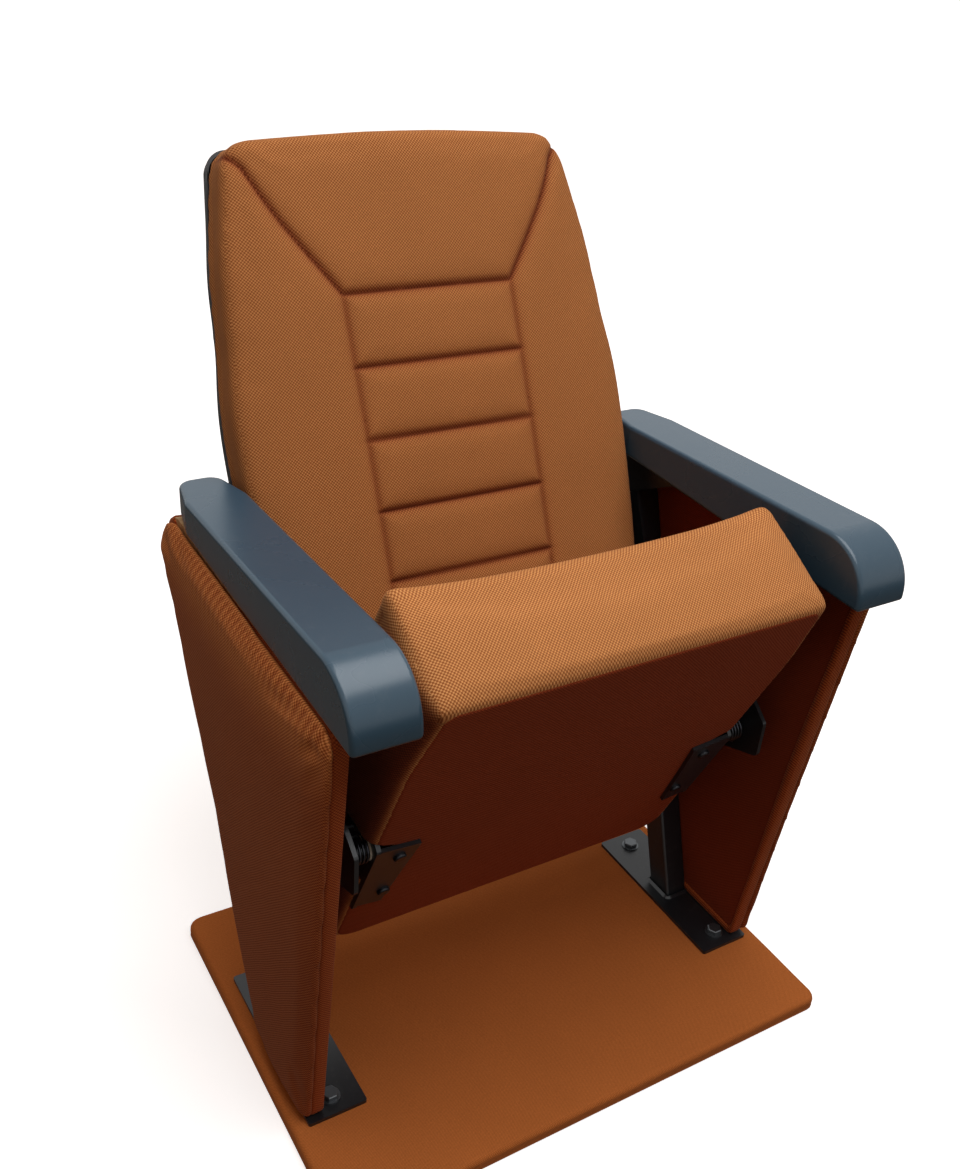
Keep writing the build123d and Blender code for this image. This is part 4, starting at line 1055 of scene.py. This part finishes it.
pucker(right_pad)
lay_cloth(right_pad, side_axes, side_chart)
left_pad = add_object("side_pad_cover_left", right_pad.data.copy())
move_points(left_pad, points_of(left_pad) * [-1, 1, 1])
left_pad.data.flip_normals()
for pad, side in ((left_pad, "left"), (right_pad, "right")):
    dress(pad, side_cloth_with_painted_light_and_shade, "orange_fabric", "stand", f"side_pad_{side}")

# %% [markdown]
# ## Cloth round the panel's edge
#
# The pad's cloth is pulled round the edge of the plywood and stapled under the lining, so no wood
# shows at the front and rear edges.  A ribbon follows the board's outline: at each point of it the
# ribbon runs from the pad to the lining, up to 2 mm outside the board.  It ends under the armrest,
# and rises behind it.

# %% Edge wraps
wrap_corners = [(-0.112, PANEL_LOW), (0.022, PANEL_LOW), (0.2907, PANEL_REAR), (-0.172, PANEL_FRONT)]
wrap_outline = rounded(wrap_corners, [0.009, 0.009, 0.038, 0.016], 300)
wrap_middle = wrap_outline.mean(0)
wrap_reach = np.linalg.norm(wrap_outline - wrap_middle, axis=1)


def edge_wrap(side):
    """A closed band round the board: x over the board's edge and outset form a flat loop per point."""
    section_x = np.array([0.3005, 0.3005, 0.3020, 0.3120, 0.3160, 0.3160])
    section_out = np.array([-0.0100, 0.0004, 0.0014, 0.0022, 0.0005, -0.0100])
    share = 1 + section_out[:, None] / wrap_reach
    flat = wrap_middle + (wrap_outline - wrap_middle) * share[..., None]
    highest = 0.6 + 0.02 * smooth((flat[..., 0] - 0.238) / 0.012)
    flat[..., 1] = np.clip(flat[..., 1], 0.0236, highest)
    x = side * np.broadcast_to(section_x[:, None], share.shape)
    rings = np.concatenate([x[..., None], flat], -1)
    rows, columns = share.shape
    faces = ring_faces(rows, columns)
    here = np.arange(columns)
    beside = (here + 1) % columns
    last = (rows - 1) * columns
    faces += np.stack([last + here, last + beside, beside, here], -1).tolist()
    return show("panel_edge_wrap_" + ("right" if side > 0 else "left"), rings.reshape(-1, 3), faces)


def wrap_chart(y, z, height, normal):
    """u runs across the band.  v runs along it: y where the band lies level, else z."""
    return height, np.where(np.abs(normal[:, 1]) > 0.7, y, z)


for side in (-1, 1):
    wrap = edge_wrap(side)
    lay_cloth(wrap, side_axes, wrap_chart)
    dress(wrap, wrap_cloth_with_painted_shade, "orange_fabric", "stand")
print("edge wraps", len(wrap.data.polygons), "faces each")

# %% [markdown]
# ## Cover of the base
#
# The display base is a board under tight cloth.  Its top must stay flat, because the foot plates
# stand on it, but its rim is rolled and slightly uneven.

# %% Base cover
BASE_X, BASE_Y = 0.34, 0.245
base_corners = [(BASE_X, -BASE_Y), (BASE_X, BASE_Y), (-BASE_X, BASE_Y), (-BASE_X, -BASE_Y)]
base_outline = rounded(base_corners, [0.016] * 4, 420)
base_axes = (np.zeros(3), ACROSS, np.array([0.0, 1.0, 0.0]), np.array([0.0, 0.0, 1.0]))
base_cover = cushion_form(
    "base_cloth_cover", base_axes, base_outline, lambda x, y: 0.018 + 0 * x, 0.0, 0.0075, inset=0.0
)


def ripple_rim(piece):
    """The rolled rim is drawn in by up to 0.8 mm, in waves: sines along the edge."""
    points = points_of(piece)
    x, y, z = points.T
    to_edge = np.maximum(np.abs(x) - BASE_X, np.abs(y) - BASE_Y)
    rim = smooth((to_edge + 0.010) / 0.008) * smooth(z / 0.004)
    wave = np.sin(x * 47 + 1.3 * np.sin(y * 23)) * np.sin(y * 39 + 1.1 * np.sin(x * 19))
    points *= 1 - (rim * (0.0012 + 0.0010 * wave))[:, None] * [1, 1, 0]
    move_points(piece, points)


def base_chart(x, y, height, normal):
    """One cloth: u = x, v = y, less the height on the walls."""
    return x, y - np.where(np.abs(normal[:, 2]) > 0.6, 0, height)


ripple_rim(base_cover)
lay_cloth(base_cover, base_axes, base_chart)
dress(base_cover, base_cloth, "base_fabric", "stand", "base_cover")

# %% [markdown]
# ## Cloth coordinates for the linings
#
# The thin linings inside the panels keep their CAD shape, and their points stay where they are.  A
# cloth needs cloth coordinates, and a frame piece's points may not move, but a UV map may be
# added: here it is simply y and z.

# %% Linings
for side in ("left", "right"):
    lay_cloth(nodes[f"side_lining_{side}"], side_axes, flat_chart)
print("linings charted")

# %% [markdown]
# ## Floor, lamps and world
#
# The seat stands on a plain pale floor.  To the camera the world is white, and the floor glows: a
# painted glow, weaker near the seat so that the lamps' shadow shows, and near white far off.  To the
# light that bounces, the floor is grey, so that it doesn't light the seat's dark underside from
# below, and the world is a dim, warm room.  One large lamp hangs overhead, slightly in front and to
# the right, and a weak, warm one fills in from the left.

# %% Stage and light
FLOOR = 40
floor_mesh = bpy.data.meshes.new("floor")
floor_corners = [(-FLOOR, -FLOOR, 0), (FLOOR, -FLOOR, 0), (FLOOR, FLOOR, 0), (-FLOOR, FLOOR, 0)]
floor_mesh.from_pydata(floor_corners, [], [(0, 1, 2, 3)])
floor = add_object("floor", floor_mesh)
floor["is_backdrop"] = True
floor_paint, tree, shader = material("pale floor", Roughness=0.9)
path = put(tree, "ShaderNodeLightPath")
tone = put(
    tree, "ShaderNodeMix",
    {"Factor": path.outputs["Is Camera Ray"], "A": paint(118, 112, 106), "B": paint(255, 255, 255)},
    data_type="RGBA",
)
place = put(tree, "ShaderNodeTexCoord")
far = put(tree, "ShaderNodeVectorMath", {0: place.outputs["Object"]}, operation="LENGTH").outputs["Value"]
# painted glow of the floor for the camera: weaker near the seat, stronger far off
glow = put(
    tree, "ShaderNodeMapRange",
    {"Value": far, "From Min": 0.4, "From Max": 2.5, "To Min": 0.55, "To Max": 0.95},
)
wire(tree, shader, {
    "Base Color": tone.outputs["Result"],
    "Emission Color": (1, 1, 1, 1),
    "Emission Strength": maths(tree, "MULTIPLY", path.outputs["Is Camera Ray"], glow.outputs[0]),
})
floor_mesh.materials.append(floor_paint)

world = bpy.data.worlds.new("studio")
bpy.context.scene.world = world
world.use_nodes = True
tree = world.node_tree
tree.nodes.clear()
path = put(tree, "ShaderNodeLightPath")
seen = maths(tree, "MAXIMUM", path.outputs["Is Camera Ray"], path.outputs["Is Glossy Ray"])
seen = maths(tree, "MAXIMUM", seen, path.outputs["Is Transmission Ray"])
fill_light = put(tree, "ShaderNodeBackground", {"Color": (1.0, 0.66, 0.46, 1.0), "Strength": 0.19})
backdrop = put(tree, "ShaderNodeBackground", {"Color": (1, 1, 1, 1), "Strength": 1.0})
mixed = put(tree, "ShaderNodeMixShader", {0: seen, 1: fill_light.outputs[0], 2: backdrop.outputs[0]})
put(tree, "ShaderNodeOutputWorld", {"Surface": mixed.outputs[0]})


def lamp(name, place, size, watts, colour):
    """A square area lamp at a place, turned towards the middle of the seat."""
    data = bpy.data.lights.new(name, "AREA")
    data.shape = "SQUARE"
    data.size = size
    data.energy = watts
    data.color = colour
    made = add_object(name, data)
    made.location = place
    made.rotation_quaternion = (Vector((0, 0, 0.5)) - Vector(place)).to_track_quat("-Z", "Y")


lamp("overhead lamp", (0.15, -0.40, 2.9), 2.3, 66, (0.96, 0.98, 1.0))
lamp("left fill", (-2.4, -1.6, 2.2), 1.2, 1.5, (1.0, 0.72, 0.52))
bpy.context.scene.view_settings.view_transform = "Standard"

# %% [markdown]
# ## Measure the size and finish
#
# The dressed seat has to fill the same box as the frame, give or take a little fullness of cloth.
# Both boxes are printed, with how far each side has grown.

# %% Measure and finish
low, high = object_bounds()
print("visual box", [round(v, 3) for v in (*low, *high)])
sides = zip((*low, *high), (*cad_low, *cad_high), strict=True)
print("grown by", [round(float(now - before) * 1000, 1) for now, before in sides], "mm")
